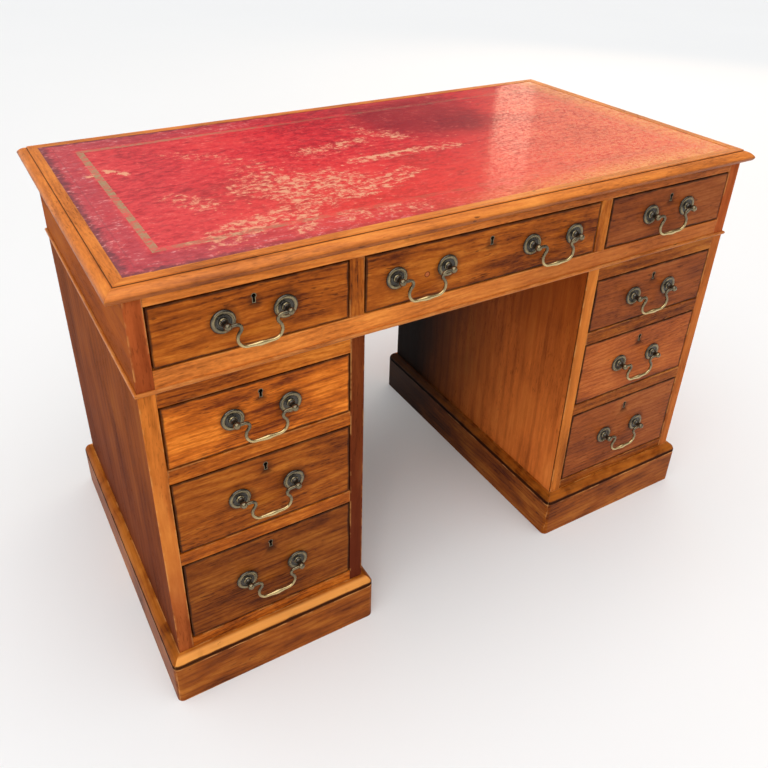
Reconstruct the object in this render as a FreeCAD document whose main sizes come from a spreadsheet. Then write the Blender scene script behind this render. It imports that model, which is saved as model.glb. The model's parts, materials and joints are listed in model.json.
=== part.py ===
import FreeCAD, Part
import math
import operator
import os
from types import SimpleNamespace

import Sketcher

# A kneehole desk: a leather-topped upper section with three drawers, on two pedestals of three drawers.
# The origin is on the floor under the middle of the desk. +X points right for someone facing the
# drawers, the drawers open towards -Y, and +Z is up.

# Driving dimensions, in millimetres and degrees
SIZES = {
    # Top with its moulded rim and leather
    "top_width": 1172,
    "top_depth": 630,
    "side_overhang": 22,
    "front_overhang": 12,
    "rim_width": 32,
    "rim_thickness": 20,
    "rim_step_inset": 16,
    "rim_step": 2.5,
    "rim_nose_height": 8,
    "rim_under_inset": 6,
    "rim_thumb_radius": 20,
    "rim_under_radius": 8,
    "leather_thickness": 2,
    # Upper section below the top
    "frieze_bottom_rail": 34,
    "frieze_opening": 94.5,
    "frieze_top_rail": 15.5,
    "frieze_end": 24.5,
    "frieze_divider": 23.7,
    "frieze_back": 14,
    "divider_set": 2,
    "bead_height": 6,
    "bead_proud": 4,
    "bead_radius": 3.6,
    # Pedestals
    "pedestal_width": 340,
    "case_side": 24,
    "case_back": 12,
    "case_lift": 5,
    "bottom_board": 12,
    "bottom_rail": 21,
    "lower_opening": 167,
    "lower_rail": 24,
    "middle_opening": 138.5,
    "upper_rail": 26,
    "upper_opening": 109,
    "pedestal_top_rail": 25.5,
    "rail_depth": 60,
    "plinth_height": 100,
    "plinth_proud": 16.6,
    "plinth_moulding": 14,
    "plinth_moulding_radius": 22,
    "plinth_groove": 2.4,
    "plinth_ledge": 3,
    # Runners and stops
    "runner_width": 18,
    "stop_width": 30,
    "stop_length": 25,
    "stop_height": 6,
    "stop_inset": 60,
    "stop_gap": 0.2,
    # Drawers
    "drawer_rear_gap": 30,
    "drawer_gap": 1.5,
    "run_clearance": 0.3,
    "front_thickness": 22,
    "drawer_side": 10,
    "drawer_back": 10,
    "drawer_bottom": 7,
    "bottom_raise": 8,
    "side_drop": 4,
    "back_drop": 10,
    # Locks and keyholes
    "lock_width": 60,
    "lock_height": 38,
    "lock_depth": 12,
    "lock_clearance": 0.2,
    "bolt_width": 22,
    "bolt_thickness": 5,
    "bolt_height": 30,
    "bolt_setback": 6,
    "bolt_clearance": 0.25,
    "mortise_depth": 9,
    "mortise_clearance": 1,
    "keyhole_radius": 3.1,
    "keyhole_tail": 3.4,
    "keyhole_height": 13,
    "keyhole_drop": 18.5,
    "liner_wall": 0.9,
    "liner_depth": 6,
    "liner_clearance": 0.05,
    # Handles
    "handle_span": 90,
    "centre_handle_share": 0.562,
    "pivot_standoff": 16.5,
    "rosette_radius": 18,
    "rosette_edge": 1.2,
    "rosette_ring": 7,
    "rosette_ring_radius": 4,
    "rosette_dish": 1.6,
    "rosette_boss": 7,
    "rosette_boss_top": 4.8,
    "rosette_boss_height": 4.4,
    "rosette_boss_radius": 3.6,
    "ball_radius": 5.5,
    "post_collar": 4.4,
    "post_collar_height": 1.4,
    "post_neck": 2.9,
    "post_flare_radius": 6,
    "post_flare_height": 3.2,
    "shank_radius": 2.6,
    "shank_clearance": 0.1,
    "shank_overrun": 1.5,
    "nut_radius": 6.5,
    "nut_height": 4,
    "bail_rod": 2.2,
    "bail_swell": 3.2,
    "pin_clearance": 0.08,
    "pin_overrun": 4,
    "pin_reach": 12,
    "neck_radius": 7,
    "neck_length": 5.5,
    "neck_turn": 130,
    "bow_radius": 12.8,
}

doc = FreeCAD.newDocument("KneeholeDesk")
sheet = doc.addObject("Spreadsheet::Sheet", "Sizes")
for row, (name, number) in enumerate(SIZES.items(), start=1):
    sheet.set(f"A{row}", name)
    sheet.set(f"B{row}", str(number))
    sheet.setAlias(f"B{row}", name)
doc.recompute()

OPERATIONS = {"+": operator.add, "-": operator.sub, "*": operator.mul, "/": operator.truediv}


class Size:
    """A length worked out from the sheet: the expression that is bound, and its present value."""

    def __init__(self, text, value):
        self.text = text
        self.value = value

    def __add__(self, other):
        return combined(self, "+", other)

    def __radd__(self, other):
        return combined(other, "+", self)

    def __sub__(self, other):
        return combined(self, "-", other)

    def __rsub__(self, other):
        return combined(other, "-", self)

    def __mul__(self, other):
        return combined(self, "*", other)

    def __rmul__(self, other):
        return combined(other, "*", self)

    def __truediv__(self, other):
        return combined(self, "/", other)

    def __neg__(self):
        return combined(0, "-", self)


def as_size(value):
    """A plain number as a size, or a size as it is."""
    if isinstance(value, Size):
        return value
    return Size(repr(value), value)


def combined(left, sign, right):
    """The size that one operation makes of two others."""
    left = as_size(left)
    right = as_size(right)
    return Size(f"({left.text} {sign} {right.text})", OPERATIONS[sign](left.value, right.value))


def sine(turn):
    """The sine of an angle in degrees."""
    return Size(f"sin({turn.text})", math.sin(math.radians(turn.value)))


def cosine(turn):
    """The cosine of an angle in degrees."""
    return Size(f"cos({turn.text})", math.cos(math.radians(turn.value)))


def root(area):
    """The square root of a size."""
    return Size(f"sqrt({area.text})", math.sqrt(area.value))


size = SimpleNamespace(**{name: Size(f"Sizes.{name}", number) for name, number in SIZES.items()})

AXES = {"x": FreeCAD.Vector(1, 0, 0), "y": FreeCAD.Vector(0, 1, 0), "z": FreeCAD.Vector(0, 0, 1)}
OVERSHOOT = 1
NODES = []


def bind(thing, **sizes):
    """Ties properties of a thing to the sheet."""
    for name, value in sizes.items():
        thing.setExpression(name, as_size(value).text)
    return thing


def place(thing, x=0, y=0, z=0):
    """Ties where a thing stands to the sheet."""
    for axis, where in zip("xyz", (x, y, z)):
        thing.setExpression(f"Placement.Base.{axis}", as_size(where).text)
    return thing


def turned(thing, axis, angle):
    """Turns a thing about an axis through its own origin."""
    thing.Placement = FreeCAD.Placement(FreeCAD.Vector(), FreeCAD.Rotation(axis, angle))
    return thing


def board(name, x, y, z):
    """A rectangular board, from its low and high limit on each axis."""
    box = doc.addObject("Part::Box", name)
    bind(box, Length=x[1] - x[0], Width=y[1] - y[0], Height=z[1] - z[0])
    return place(box, x[0], y[0], z[0])


def rod(name, axis, radius, length, x=0, y=0, z=0):
    """A round rod that starts at a point and runs along an axis."""
    cylinder = doc.addObject("Part::Cylinder", name)
    cylinder.Placement = FreeCAD.Placement(FreeCAD.Vector(), FreeCAD.Rotation(AXES["z"], AXES[axis]))
    bind(cylinder, Radius=radius, Height=length)
    return place(cylinder, x, y, z)


def joined(name, things):
    """Several overlapping or touching shapes made into one solid."""
    fusion = doc.addObject("Part::MultiFuse", name)
    fusion.Shapes = things
    return fusion


def cut(name, base, tools):
    """A solid with the tools taken out of it."""
    result = doc.addObject("Part::Cut", name)
    result.Base = base
    result.Tool = tools[0] if len(tools) == 1 else joined(f"{name}_tool", tools)
    return result


def copy_at(name, master, x=0, y=0, z=0):
    """Another of the same piece, standing somewhere else."""
    copy = doc.addObject("Part::Compound", name)
    copy.Links = [master]
    return place(copy, x, y, z)


def node(label, things):
    """One named sub-part that holds its separate solids."""
    group = doc.addObject("Part::Compound", label)
    group.Label = label
    group.Links = things
    NODES.append(group)
    return group


def arc_between(start, end, radius, left):
    """The shorter arc from start to end, turning left or right."""
    chord = end - start
    middle = (start + end) / 2
    rise = math.sqrt(max(radius**2 - (chord.Length / 2) ** 2, 0))
    side = FreeCAD.Vector(-chord.y, chord.x, 0).normalize() * (rise if left else -rise)
    centre = middle + side
    first, last = (start, end) if left else (end, start)
    angles = [math.atan2(point.y - centre.y, point.x - centre.x) for point in (first, last)]
    return Part.ArcOfCircle(Part.Circle(centre, AXES["z"], radius), *angles)


def outline(name, points, arcs, closed=True):
    """A sketch of lines and arcs through points.

    points are pairs of sizes. arcs maps the index of a stretch's first point to its radius and
    whether it turns left. Every corner and radius is tied to the sheet.
    """
    sketch = doc.addObject("Sketcher::SketchObject", name)
    corners = [FreeCAD.Vector(as_size(u).value, as_size(v).value, 0) for u, v in points]
    count = len(points) if closed else len(points) - 1
    ends = []
    for index in range(count):
        start, end = corners[index], corners[(index + 1) % len(points)]
        if index in arcs:
            radius, left = arcs[index]
            sketch.addGeometry(arc_between(start, end, as_size(radius).value, left), False)
            ends.append((1, 2) if left else (2, 1))
        else:
            sketch.addGeometry(Part.LineSegment(start, end), False)
            ends.append((1, 2))
    for index in range(count if closed else count - 1):
        following = (index + 1) % count
        sketch.addConstraint(
            Sketcher.Constraint("Coincident", index, ends[index][1], following, ends[following][0])
        )
    for index, (u, v) in enumerate(points):
        edge, end = (index, ends[index][0]) if index < count else (index - 1, ends[index - 1][1])
        for kind, where in (("DistanceX", as_size(u)), ("DistanceY", as_size(v))):
            tie = sketch.addConstraint(Sketcher.Constraint(kind, -1, 1, edge, end, float(where.value)))
            sketch.setExpression(f"Constraints[{tie}]", where.text)
    for index, (radius, left) in arcs.items():
        tie = sketch.addConstraint(Sketcher.Constraint("Radius", index, float(as_size(radius).value)))
        sketch.setExpression(f"Constraints[{tie}]", as_size(radius).text)
    return sketch


def turned_solid(name, profile, axis):
    """A solid of revolution about an axis through the origin."""
    lathe = doc.addObject("Part::Revolution", name)
    lathe.Source = profile
    lathe.Axis = AXES[axis]
    lathe.Angle = 360
    lathe.Solid = True
    return lathe


# Levels from the floor up, and the planes that the pieces share
front = size.front_overhang - size.top_depth / 2
back = -front
bottom_rail_top = size.plinth_height + size.bottom_rail
lower_top = bottom_rail_top + size.lower_opening
lower_rail_top = lower_top + size.lower_rail
middle_top = lower_rail_top + size.middle_opening
upper_rail_top = middle_top + size.upper_rail
upper_top = upper_rail_top + size.upper_opening
pedestal_top = upper_top + size.pedestal_top_rail
frieze_rail_top = pedestal_top + size.frieze_bottom_rail
frieze_opening_top = frieze_rail_top + size.frieze_opening
frieze_top = frieze_opening_top + size.frieze_top_rail
desk_top = frieze_top + size.rim_thickness

half_frieze = size.top_width / 2 - size.side_overhang
pedestal_x = half_frieze - size.pedestal_width / 2
pedestal_opening = size.pedestal_width - 2 * size.case_side
half_kneehole = half_frieze - size.pedestal_width
# Each divider stands over a pedestal's inner side, set back a little from its face
half_centre = half_kneehole + size.divider_set
divider_outside = half_centre + size.frieze_divider
side_opening = half_frieze - size.frieze_end - divider_outside
side_drawer_x = divider_outside + side_opening / 2
rail_back = front + size.rail_depth
bolt_plane = front + size.front_thickness - size.bolt_setback


def mitred(name, length, depth, height):
    """A board whose ends are mitred: full length on its outside at y = 0, shorter at its inside."""
    wedge = doc.addObject("Part::Wedge", name)
    bind(wedge, Xmin=-length / 2, Xmax=length / 2, X2min=depth - length / 2, X2max=length / 2 - depth)
    return bind(wedge, Ymin=0, Ymax=depth, Zmin=0, Zmax=height, Z2min=0, Z2max=height)


def moulding(name, profile, length, depth, height):
    """A mitred length of moulding: the profile run along X and trimmed at both ends."""
    run = doc.addObject("Part::Extrusion", f"{name}_run")
    run.Base = profile
    run.DirMode = "Custom"
    run.Dir = AXES["x"]
    run.Symmetric = True
    run.Solid = True
    bind(run, LengthFwd=length)
    piece = doc.addObject("Part::Common", name)
    piece.Base = run
    piece.Tool = mitred(f"{name}_mitre", length, depth, height)
    return piece


def moulded_ring(label, profile, half_width, half_depth, depth, height, x, z):
    """Four mitred lengths of moulding round a rectangle, its outside half_width by half_depth."""
    turned(profile, FreeCAD.Vector(1, 1, 1), 120)
    sides = {
        "front": (0, 2 * half_width, x, -half_depth),
        "right": (90, 2 * half_depth, x + half_width, 0),
        "back": (180, 2 * half_width, x, half_depth),
        "left": (270, 2 * half_depth, x - half_width, 0),
    }
    pieces = []
    for side, (angle, length, along, across) in sides.items():
        piece = moulding(f"{label}_{side}", profile, length, depth, height)
        turned(piece, AXES["z"], angle)
        pieces.append(place(piece, along, across, z))
    return node(label, pieces)


def make_top():
    """The top: a panel in a mitred moulded rim, with the leather let in flush."""
    half_width = size.top_width / 2
    half_depth = size.top_depth / 2
    inside = [(-half_width + size.rim_width, half_width - size.rim_width)]
    inside.append((-half_depth + size.rim_width, half_depth - size.rim_width))
    leather_back = desk_top - size.leather_thickness
    node("top_panel", [board("top_panel_board", *inside, (frieze_top, leather_back))])
    node("leather_top", [board("leather_sheet", *inside, (leather_back, desk_top))])
    # From the leather out: the flat, the step, the thumb moulding, its nose and the rounded underside
    profile = outline(
        "rim_profile",
        [
            (size.rim_width, 0),
            (size.rim_width, size.rim_thickness),
            (size.rim_step_inset, size.rim_thickness),
            (size.rim_step_inset, size.rim_thickness - size.rim_step),
            (0, size.rim_nose_height),
            (size.rim_under_inset, 0),
        ],
        {3: (size.rim_thumb_radius, True), 4: (size.rim_under_radius, True)},
    )
    rim = (size.rim_width, size.rim_thickness)
    moulded_ring("top_rim", profile, half_width, half_depth, *rim, as_size(0), frieze_top)


def bolt_mortise(name, x, level):
    """The pocket in the underside of a rail that a lock bolt rises into."""
    half_width = size.bolt_width / 2 + size.mortise_clearance
    half_depth = size.bolt_thickness / 2 + size.mortise_clearance
    return board(
        name,
        (x - half_width, x + half_width),
        (bolt_plane - half_depth, bolt_plane + half_depth),
        (level - OVERSHOOT, level + size.mortise_depth),
    )


def make_frieze():
    """The carcass of the upper section."""
    inner = half_frieze - size.frieze_end
    whole_height = (pedestal_top, frieze_top)
    back_inside = back - size.frieze_back
    rail_span = (front, rail_back)
    ends = {"left": (-half_frieze, -inner), "right": (inner, half_frieze)}
    node(
        "frieze_ends",
        [board(f"frieze_{side}_end", x, (front, back), whole_height) for side, x in ends.items()],
    )
    node("frieze_back", [board("frieze_back_board", (-inner, inner), (back_inside, back), whole_height)])
    top_rail = board("frieze_top_rail_bar", (-inner, inner), rail_span, (frieze_opening_top, frieze_top))
    places = {"left": -side_drawer_x, "centre": as_size(0), "right": side_drawer_x}
    mortises = [
        bolt_mortise(f"frieze_{side}_mortise", x, frieze_opening_top) for side, x in places.items()
    ]
    node(
        "frieze_rails",
        [
            board("frieze_bottom_rail_bar", (-inner, inner), rail_span, (pedestal_top, frieze_rail_top)),
            cut("frieze_top_rail_cut", top_rail, mortises),
        ],
    )
    dividers = []
    for side, x in {
        "left": (-divider_outside, -half_centre),
        "right": (half_centre, divider_outside),
    }.items():
        dividers.append(
            board(f"frieze_{side}_muntin", x, rail_span, (frieze_rail_top, frieze_opening_top))
        )
        dividers.append(board(f"frieze_{side}_partition", x, (rail_back, back_inside), whole_height))
    node("frieze_dividers", dividers)
    # A small bead with a rounded nose covers the joint between the two sections
    profile = outline(
        "bead_profile",
        [
            (size.bead_proud, 0),
            (size.bead_proud, size.bead_height),
            (size.bead_proud / 2, size.bead_height),
            (0, size.bead_height / 2),
            (size.bead_proud / 2, 0),
        ],
        {2: (size.bead_radius, True), 3: (size.bead_radius, True)},
    )
    bead = (size.bead_proud, size.bead_height)
    moulded_ring(
        "frieze_bead",
        profile,
        half_frieze + size.bead_proud,
        back + size.bead_proud,
        *bead,
        as_size(0),
        pedestal_top,
    )


def plinth_profile():
    """The plinth's section: an upright face, a groove, and an ovolo that runs back to the case."""
    moulding_foot = size.plinth_height - size.plinth_moulding
    return [
        (size.plinth_proud, 0),
        (size.plinth_proud, size.plinth_height),
        (size.plinth_proud - size.plinth_ledge, size.plinth_height),
        (0, moulding_foot),
        (size.plinth_groove, moulding_foot),
        (size.plinth_groove, moulding_foot - size.plinth_groove),
        (0, moulding_foot - size.plinth_groove),
        (0, 0),
    ]


def make_pedestal(side, sign, rails):
    """One pedestal's case and plinth; its rails are added to the rails that both pedestals share."""
    x = sign * pedestal_x
    outer = (x - size.pedestal_width / 2, x + size.pedestal_width / 2)
    inner = (outer[0] + size.case_side, outer[1] - size.case_side)
    back_inside = back - size.case_back
    height = (size.case_lift, pedestal_top)
    floor = (size.plinth_height - size.bottom_board, size.plinth_height)
    node(
        f"{side}_pedestal_case",
        [
            board(f"{side}_case_left_side", (outer[0], inner[0]), (front, back), height),
            board(f"{side}_case_right_side", (inner[1], outer[1]), (front, back), height),
            board(f"{side}_case_back", inner, (back_inside, back), height),
            board(f"{side}_case_bottom", inner, (front, back_inside), floor),
        ],
    )
    moulded_ring(
        f"{side}_plinth",
        outline(f"{side}_plinth_profile", plinth_profile(), {2: (size.plinth_moulding_radius, True)}),
        size.pedestal_width / 2 + size.plinth_proud,
        back + size.plinth_proud,
        size.plinth_proud,
        size.plinth_height,
        x,
        as_size(0),
    )
    span = (front, rail_back)
    rails.append(board(f"{side}_bottom_rail", inner, span, (size.plinth_height, bottom_rail_top)))
    mortised = {
        "lower": (lower_top, lower_rail_top),
        "upper": (middle_top, upper_rail_top),
        "top": (upper_top, pedestal_top),
    }
    for level, heights in mortised.items():
        bar = board(f"{side}_{level}_rail_bar", inner, span, heights)
        pocket = bolt_mortise(f"{side}_{level}_mortise", x, heights[0])
        rails.append(cut(f"{side}_{level}_rail", bar, [pocket]))
    rear_span = (back_inside - size.rail_depth, back_inside)
    rails.append(board(f"{side}_rear_rail", inner, rear_span, (upper_top, pedestal_top)))


def drawer_plan():
    """Every drawer: its name, its opening, the rails below and above, its handles and its runners' ends."""
    drawers = []
    frieze_inside = back - size.frieze_back
    case_inside = back - size.case_back
    level = (frieze_rail_top, frieze_opening_top)
    rails = (size.frieze_bottom_rail, size.frieze_top_rail)
    # The wide drawer's two handles stand at a share of its half width from its middle
    handle_x = size.centre_handle_share * half_centre
    pair = (-handle_x, handle_x)
    single = (as_size(0),)
    for name, x, width, handles in (
        ("top_left", -side_drawer_x, side_opening, single),
        ("top_centre", as_size(0), 2 * half_centre, pair),
        ("top_right", side_drawer_x, side_opening, single),
    ):
        drawers.append((name, x, width, level, rails, handles, frieze_inside, frieze_inside))
    for side, sign in (("left", -1), ("right", 1)):
        for part, level, rails in (
            ("upper", (upper_rail_top, upper_top), (size.upper_rail, size.pedestal_top_rail)),
            ("middle", (lower_rail_top, middle_top), (size.lower_rail, None)),
            ("lower", (bottom_rail_top, lower_top), (size.bottom_rail, None)),
        ):
            opening = (sign * pedestal_x, pedestal_opening, level)
            ends = (case_inside, case_inside - size.rail_depth)
            drawers.append((f"{side}_{part}", *opening, rails, single, *ends))
    fields = ("name", "x", "width", "level", "rails", "handles", "runner_end", "kicker_end")
    return [SimpleNamespace(**dict(zip(fields, drawer))) for drawer in drawers]


def runners(drawer):
    """The strips that carry a drawer, those that keep it from tipping, and its two stops."""
    half = drawer.width / 2
    floor, ceiling = drawer.level
    below, above = drawer.rails
    run = (rail_back, drawer.runner_end)
    kick = (rail_back, drawer.kicker_end)
    strips = []
    for side, x in {
        "left": (drawer.x - half, drawer.x - half + size.runner_width),
        "right": (drawer.x + half - size.runner_width, drawer.x + half),
    }.items():
        strips.append(board(f"{drawer.name}_{side}_runner", x, run, (floor - below, floor)))
        if above:
            strips.append(board(f"{drawer.name}_{side}_kicker", x, kick, (ceiling, ceiling + above)))
    stop_front = front + size.front_thickness + size.stop_gap
    for side, middle in {
        "left": drawer.x - half + size.stop_inset,
        "right": drawer.x + half - size.stop_inset,
    }.items():
        x = (middle - size.stop_width / 2, middle + size.stop_width / 2)
        y = (stop_front, stop_front + size.stop_length)
        strips.append(board(f"{drawer.name}_{side}_stop", x, y, (floor, floor + size.stop_height)))
    return strips


def keyhole(name, drawer, wall, depths):
    """A keyhole's prism between two depths: a round head with a narrower tail."""
    head = drawer.level[1] - size.drawer_gap - size.keyhole_drop
    foot = head + size.keyhole_radius - size.keyhole_height - wall
    half_tail = size.keyhole_tail / 2 + wall
    start, end = depths
    tail_span = (drawer.x - half_tail, drawer.x + half_tail)
    return joined(
        name,
        [
            rod(f"{name}_head", "y", size.keyhole_radius + wall, end - start, drawer.x, start, head),
            board(f"{name}_tail", tail_span, depths, (foot, head)),
        ],
    )


def lock_block(name, drawer, clearance, overshoot):
    """The lock case's block, or with a clearance and overshoot the mortise that it is let into."""
    top = drawer.level[1] - size.drawer_gap
    face = front + size.front_thickness
    half = size.lock_width / 2 + clearance
    return board(
        name,
        (drawer.x - half, drawer.x + half),
        (face - size.lock_depth - clearance, face + overshoot),
        (top - size.lock_height - clearance, top + overshoot),
    )


def bolt_block(name, drawer, clearance, overshoot):
    """The lock bolt, its top flush with the drawer front, or the slot that it slides in."""
    top = drawer.level[1] - size.drawer_gap
    half_width = size.bolt_width / 2 + clearance
    half_depth = size.bolt_thickness / 2 + clearance
    return board(
        name,
        (drawer.x - half_width, drawer.x + half_width),
        (bolt_plane - half_depth, bolt_plane + half_depth),
        (top - size.bolt_height - clearance, top + overshoot),
    )


def handle_height(drawer):
    """How high the handles of a drawer sit: the middle of its opening."""
    return (drawer.level[0] + drawer.level[1]) / 2


def post_places(drawer):
    """Where the handle posts of a drawer stand along X."""
    half_span = size.handle_span / 2
    return [drawer.x + handle + sign * half_span for handle in drawer.handles for sign in (-1, 1)]


def make_drawer(drawer, masters):
    """A drawer's front, box, fittings, lock bolt and bails."""
    name = drawer.name
    half = drawer.width / 2 - size.drawer_gap
    floor, ceiling = drawer.level
    top = ceiling - size.drawer_gap
    face_back = front + size.front_thickness
    outside = front - OVERSHOOT
    outer = (drawer.x - half, drawer.x + half)
    handle_z = handle_height(drawer)
    no_gap = as_size(0)

    blank = board(f"{name}_front_board", outer, (front, face_back), (floor + size.drawer_gap, top))
    liner_hole = size.liner_wall + size.liner_clearance
    tools = [
        lock_block(f"{name}_lock_mortise", drawer, size.lock_clearance, OVERSHOOT),
        keyhole(f"{name}_keyhole_bore", drawer, liner_hole, (outside, face_back - size.lock_depth)),
    ]
    bore = size.shank_radius + size.shank_clearance
    for index, x in enumerate(post_places(drawer)):
        length = size.front_thickness + 2 * OVERSHOOT
        tools.append(rod(f"{name}_post_bore_{index}", "y", bore, length, x, outside, handle_z))
    node(f"{name}_front", [cut(f"{name}_front_cut", blank, tools)])

    inner = (outer[0] + size.drawer_side, outer[1] - size.drawer_side)
    end = drawer.runner_end - size.drawer_rear_gap
    side_foot = floor + size.run_clearance
    side_top = top - size.side_drop
    bottom = (side_foot + size.bottom_raise, side_foot + size.bottom_raise + size.drawer_bottom)
    back_span = (end - size.drawer_back, end)
    node(
        f"{name}_box",
        [
            board(f"{name}_left_side", (outer[0], inner[0]), (face_back, end), (side_foot, side_top)),
            board(f"{name}_right_side", (inner[1], outer[1]), (face_back, end), (side_foot, side_top)),
            board(f"{name}_back", inner, back_span, (bottom[1], side_top - size.back_drop)),
            board(f"{name}_bottom", inner, (face_back, end), bottom),
        ],
    )

    liner_end = front + size.liner_depth
    liner = cut(
        f"{name}_keyhole_liner",
        keyhole(f"{name}_liner_outside", drawer, size.liner_wall, (front, liner_end)),
        [keyhole(f"{name}_liner_inside", drawer, no_gap, (outside, liner_end + OVERSHOOT))],
    )
    lock_case = cut(
        f"{name}_lock_case",
        lock_block(f"{name}_lock_blank", drawer, no_gap, 0),
        [
            bolt_block(f"{name}_bolt_slot", drawer, size.bolt_clearance, OVERSHOOT),
            keyhole(f"{name}_lock_keyhole", drawer, no_gap, (outside, bolt_plane)),
        ],
    )
    fittings = [liner, lock_case]
    for index, x in enumerate(post_places(drawer)):
        for part, y in (("rosette", front), ("post", front), ("nut", face_back)):
            fittings.append(copy_at(f"{name}_{part}_{index}", masters[part], x, y, handle_z))
    node(f"{name}_fittings", fittings)

    node(f"{name}_lock_bolt", [bolt_block(f"{name}_bolt", drawer, no_gap, 0)])

    sides = ("",) if len(drawer.handles) == 1 else ("_left", "_right")
    for side, handle in zip(sides, drawer.handles):
        bail = node(f"{name}{side}_bail", [masters["bail"]])
        place(bail, drawer.x + handle, front - size.pivot_standoff, handle_z)


def rosette_master():
    """A turned rosette: a rounded ring, a dish and a boss, bored for the post. It faces -Y."""
    bore = size.shank_radius + size.shank_clearance
    profile = outline(
        "rosette_profile",
        [
            (bore, 0),
            (size.rosette_radius, 0),
            (size.rosette_radius, size.rosette_edge),
            (size.rosette_radius - size.rosette_ring, size.rosette_dish),
            (size.rosette_boss, size.rosette_dish),
            (size.rosette_boss_top, size.rosette_boss_height),
            (bore, size.rosette_boss_height),
        ],
        {2: (size.rosette_ring_radius, True), 4: (size.rosette_boss_radius, True)},
    )
    turned(profile, AXES["x"], 180)
    return turned_solid("rosette", profile, "y")


def post_master():
    """A ball-headed post with its shank, cross-bored through the ball for the bail's pin."""
    shoulder = size.rosette_boss_height
    collar_top = shoulder + size.post_collar_height
    flare_top = collar_top + size.post_flare_height
    ball_foot = root(size.ball_radius * size.ball_radius - size.post_neck * size.post_neck)
    tip = size.pivot_standoff + size.ball_radius
    inside = -(size.front_thickness + size.nut_height + size.shank_overrun)
    profile = outline(
        "post_profile",
        [
            (0, inside),
            (size.shank_radius, inside),
            (size.shank_radius, shoulder),
            (size.post_collar, shoulder),
            (size.post_collar, collar_top),
            (size.post_neck, flare_top),
            (size.post_neck, size.pivot_standoff - ball_foot),
            (0, tip),
        ],
        {4: (size.post_flare_radius, False), 6: (size.ball_radius, True)},
    )
    turned(profile, AXES["x"], 180)
    blank = turned_solid("post_blank", profile, "y")
    reach = size.ball_radius + OVERSHOOT
    pin_bore = size.bail_rod + size.pin_clearance
    return cut("post", blank, [rod("pin_bore", "x", pin_bore, 2 * reach, -reach, -size.pivot_standoff)])


def nut_master():
    """A square nut on the inside of the drawer front."""
    nut = doc.addObject("Part::Prism", "nut_blank")
    nut.Polygon = 4
    nut.Placement = FreeCAD.Placement(FreeCAD.Vector(), FreeCAD.Rotation(AXES["z"], AXES["y"]))
    bind(nut, Circumradius=size.nut_radius, Height=size.nut_height)
    bore = size.shank_radius + size.shank_clearance
    hole = rod("nut_bore", "y", bore, size.nut_height + 2 * OVERSHOOT, y=as_size(-OVERSHOOT))
    return cut("nut", nut, [hole])


def bail_master():
    """A swan-neck bail that hangs from its pins on the X axis, thicker in the middle of its bar."""
    half_span = size.handle_span / 2
    pin_end = size.pin_reach - half_span
    across = sine(size.neck_turn)
    along = cosine(size.neck_turn)
    neck_x = pin_end + size.neck_radius * across
    neck_z = size.neck_radius * along - size.neck_radius
    bow_x = neck_x + size.neck_length * along
    bow_z = neck_z - size.neck_length * across
    bar_x = bow_x + size.bow_radius * across
    bar_z = bow_z + size.bow_radius * along - size.bow_radius
    path = outline(
        "bail_path",
        [
            (-half_span - size.pin_overrun, 0),
            (pin_end, 0),
            (neck_x, neck_z),
            (bow_x, bow_z),
            (bar_x, bar_z),
        ],
        {1: (size.neck_radius, False), 3: (size.bow_radius, True)},
        closed=False,
    )
    turned(path, AXES["x"], 90)
    section = doc.addObject("Part::Circle", "bail_section")
    section.Placement = FreeCAD.Placement(FreeCAD.Vector(), FreeCAD.Rotation(AXES["z"], AXES["x"]))
    bind(section, Radius=size.bail_rod)
    place(section, -half_span - size.pin_overrun)
    neck = doc.addObject("Part::Sweep", "bail_left_neck")
    neck.Sections = [section]
    neck.Spine = (path, [f"Edge{number}" for number in range(1, 5)])
    neck.Solid = True
    other_neck = doc.addObject("Part::Mirroring", "bail_right_neck")
    other_neck.Source = neck
    other_neck.Normal = AXES["x"]
    # The bar's outline is one arc, so its radius follows from its length and how far it swells
    swell = size.bail_swell - size.bail_rod
    bar_radius = (bar_x * bar_x + swell * swell) / (2 * swell)
    bar_profile = outline(
        "bail_bar_profile",
        [(bar_x, 0), (-bar_x, 0), (-bar_x, size.bail_rod), (bar_x, size.bail_rod)],
        {2: (bar_radius, True)},
    )
    bar = turned_solid("bail_bar", bar_profile, "x")
    place(bar, z=bar_z)
    return joined("bail", [neck, bar, other_neck])


def check_and_write():
    """Stops if anything failed to build, then writes each sub-part to its own file."""
    doc.recompute()
    failed = [thing.Name for thing in doc.Objects if {"Invalid", "Error"} & set(thing.State)]
    if failed:
        raise RuntimeError(f"these failed to build: {failed}")
    for group in NODES:
        if group.Shape.isNull() or not group.Shape.isValid() or not group.Shape.Solids:
            raise RuntimeError(f"{group.Label} has no valid shape")
    os.makedirs("parts", exist_ok=True)
    for group in NODES:
        group.Shape.exportStep(f"parts/{group.Label}.step")
        print(group.Label, len(group.Shape.Solids), "solids", round(group.Shape.Volume), "mm3")


make_top()
make_frieze()
shared_rails = []
make_pedestal("left", -1, shared_rails)
make_pedestal("right", 1, shared_rails)
node("pedestal_rails", shared_rails)
all_drawers = drawer_plan()
node("drawer_runners", [strip for drawer in all_drawers for strip in runners(drawer)])
handle_masters = {
    "rosette": rosette_master(),
    "post": post_master(),
    "nut": nut_master(),
    "bail": bail_master(),
}
for desk_drawer in all_drawers:
    make_drawer(desk_drawer, handle_masters)
check_and_write()
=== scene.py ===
"""The looks of a kneehole desk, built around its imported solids.

Every wooden piece is made again from the solid that it stands for, board by board, so that each board
has its own grain, eased edges and wear. The handles are turned and drawn out anew. Lengths are in
metres, in the desk's own frame: the drawers open towards -Y, +X is on the right of someone who faces
them, and +Z is up.
"""

import json
import logging
import math
import random
from abc import ABC, abstractmethod
from collections.abc import Iterator, Mapping, Sequence
from dataclasses import dataclass, field, replace
from enum import Enum
from itertools import islice
from typing import Any

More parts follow.
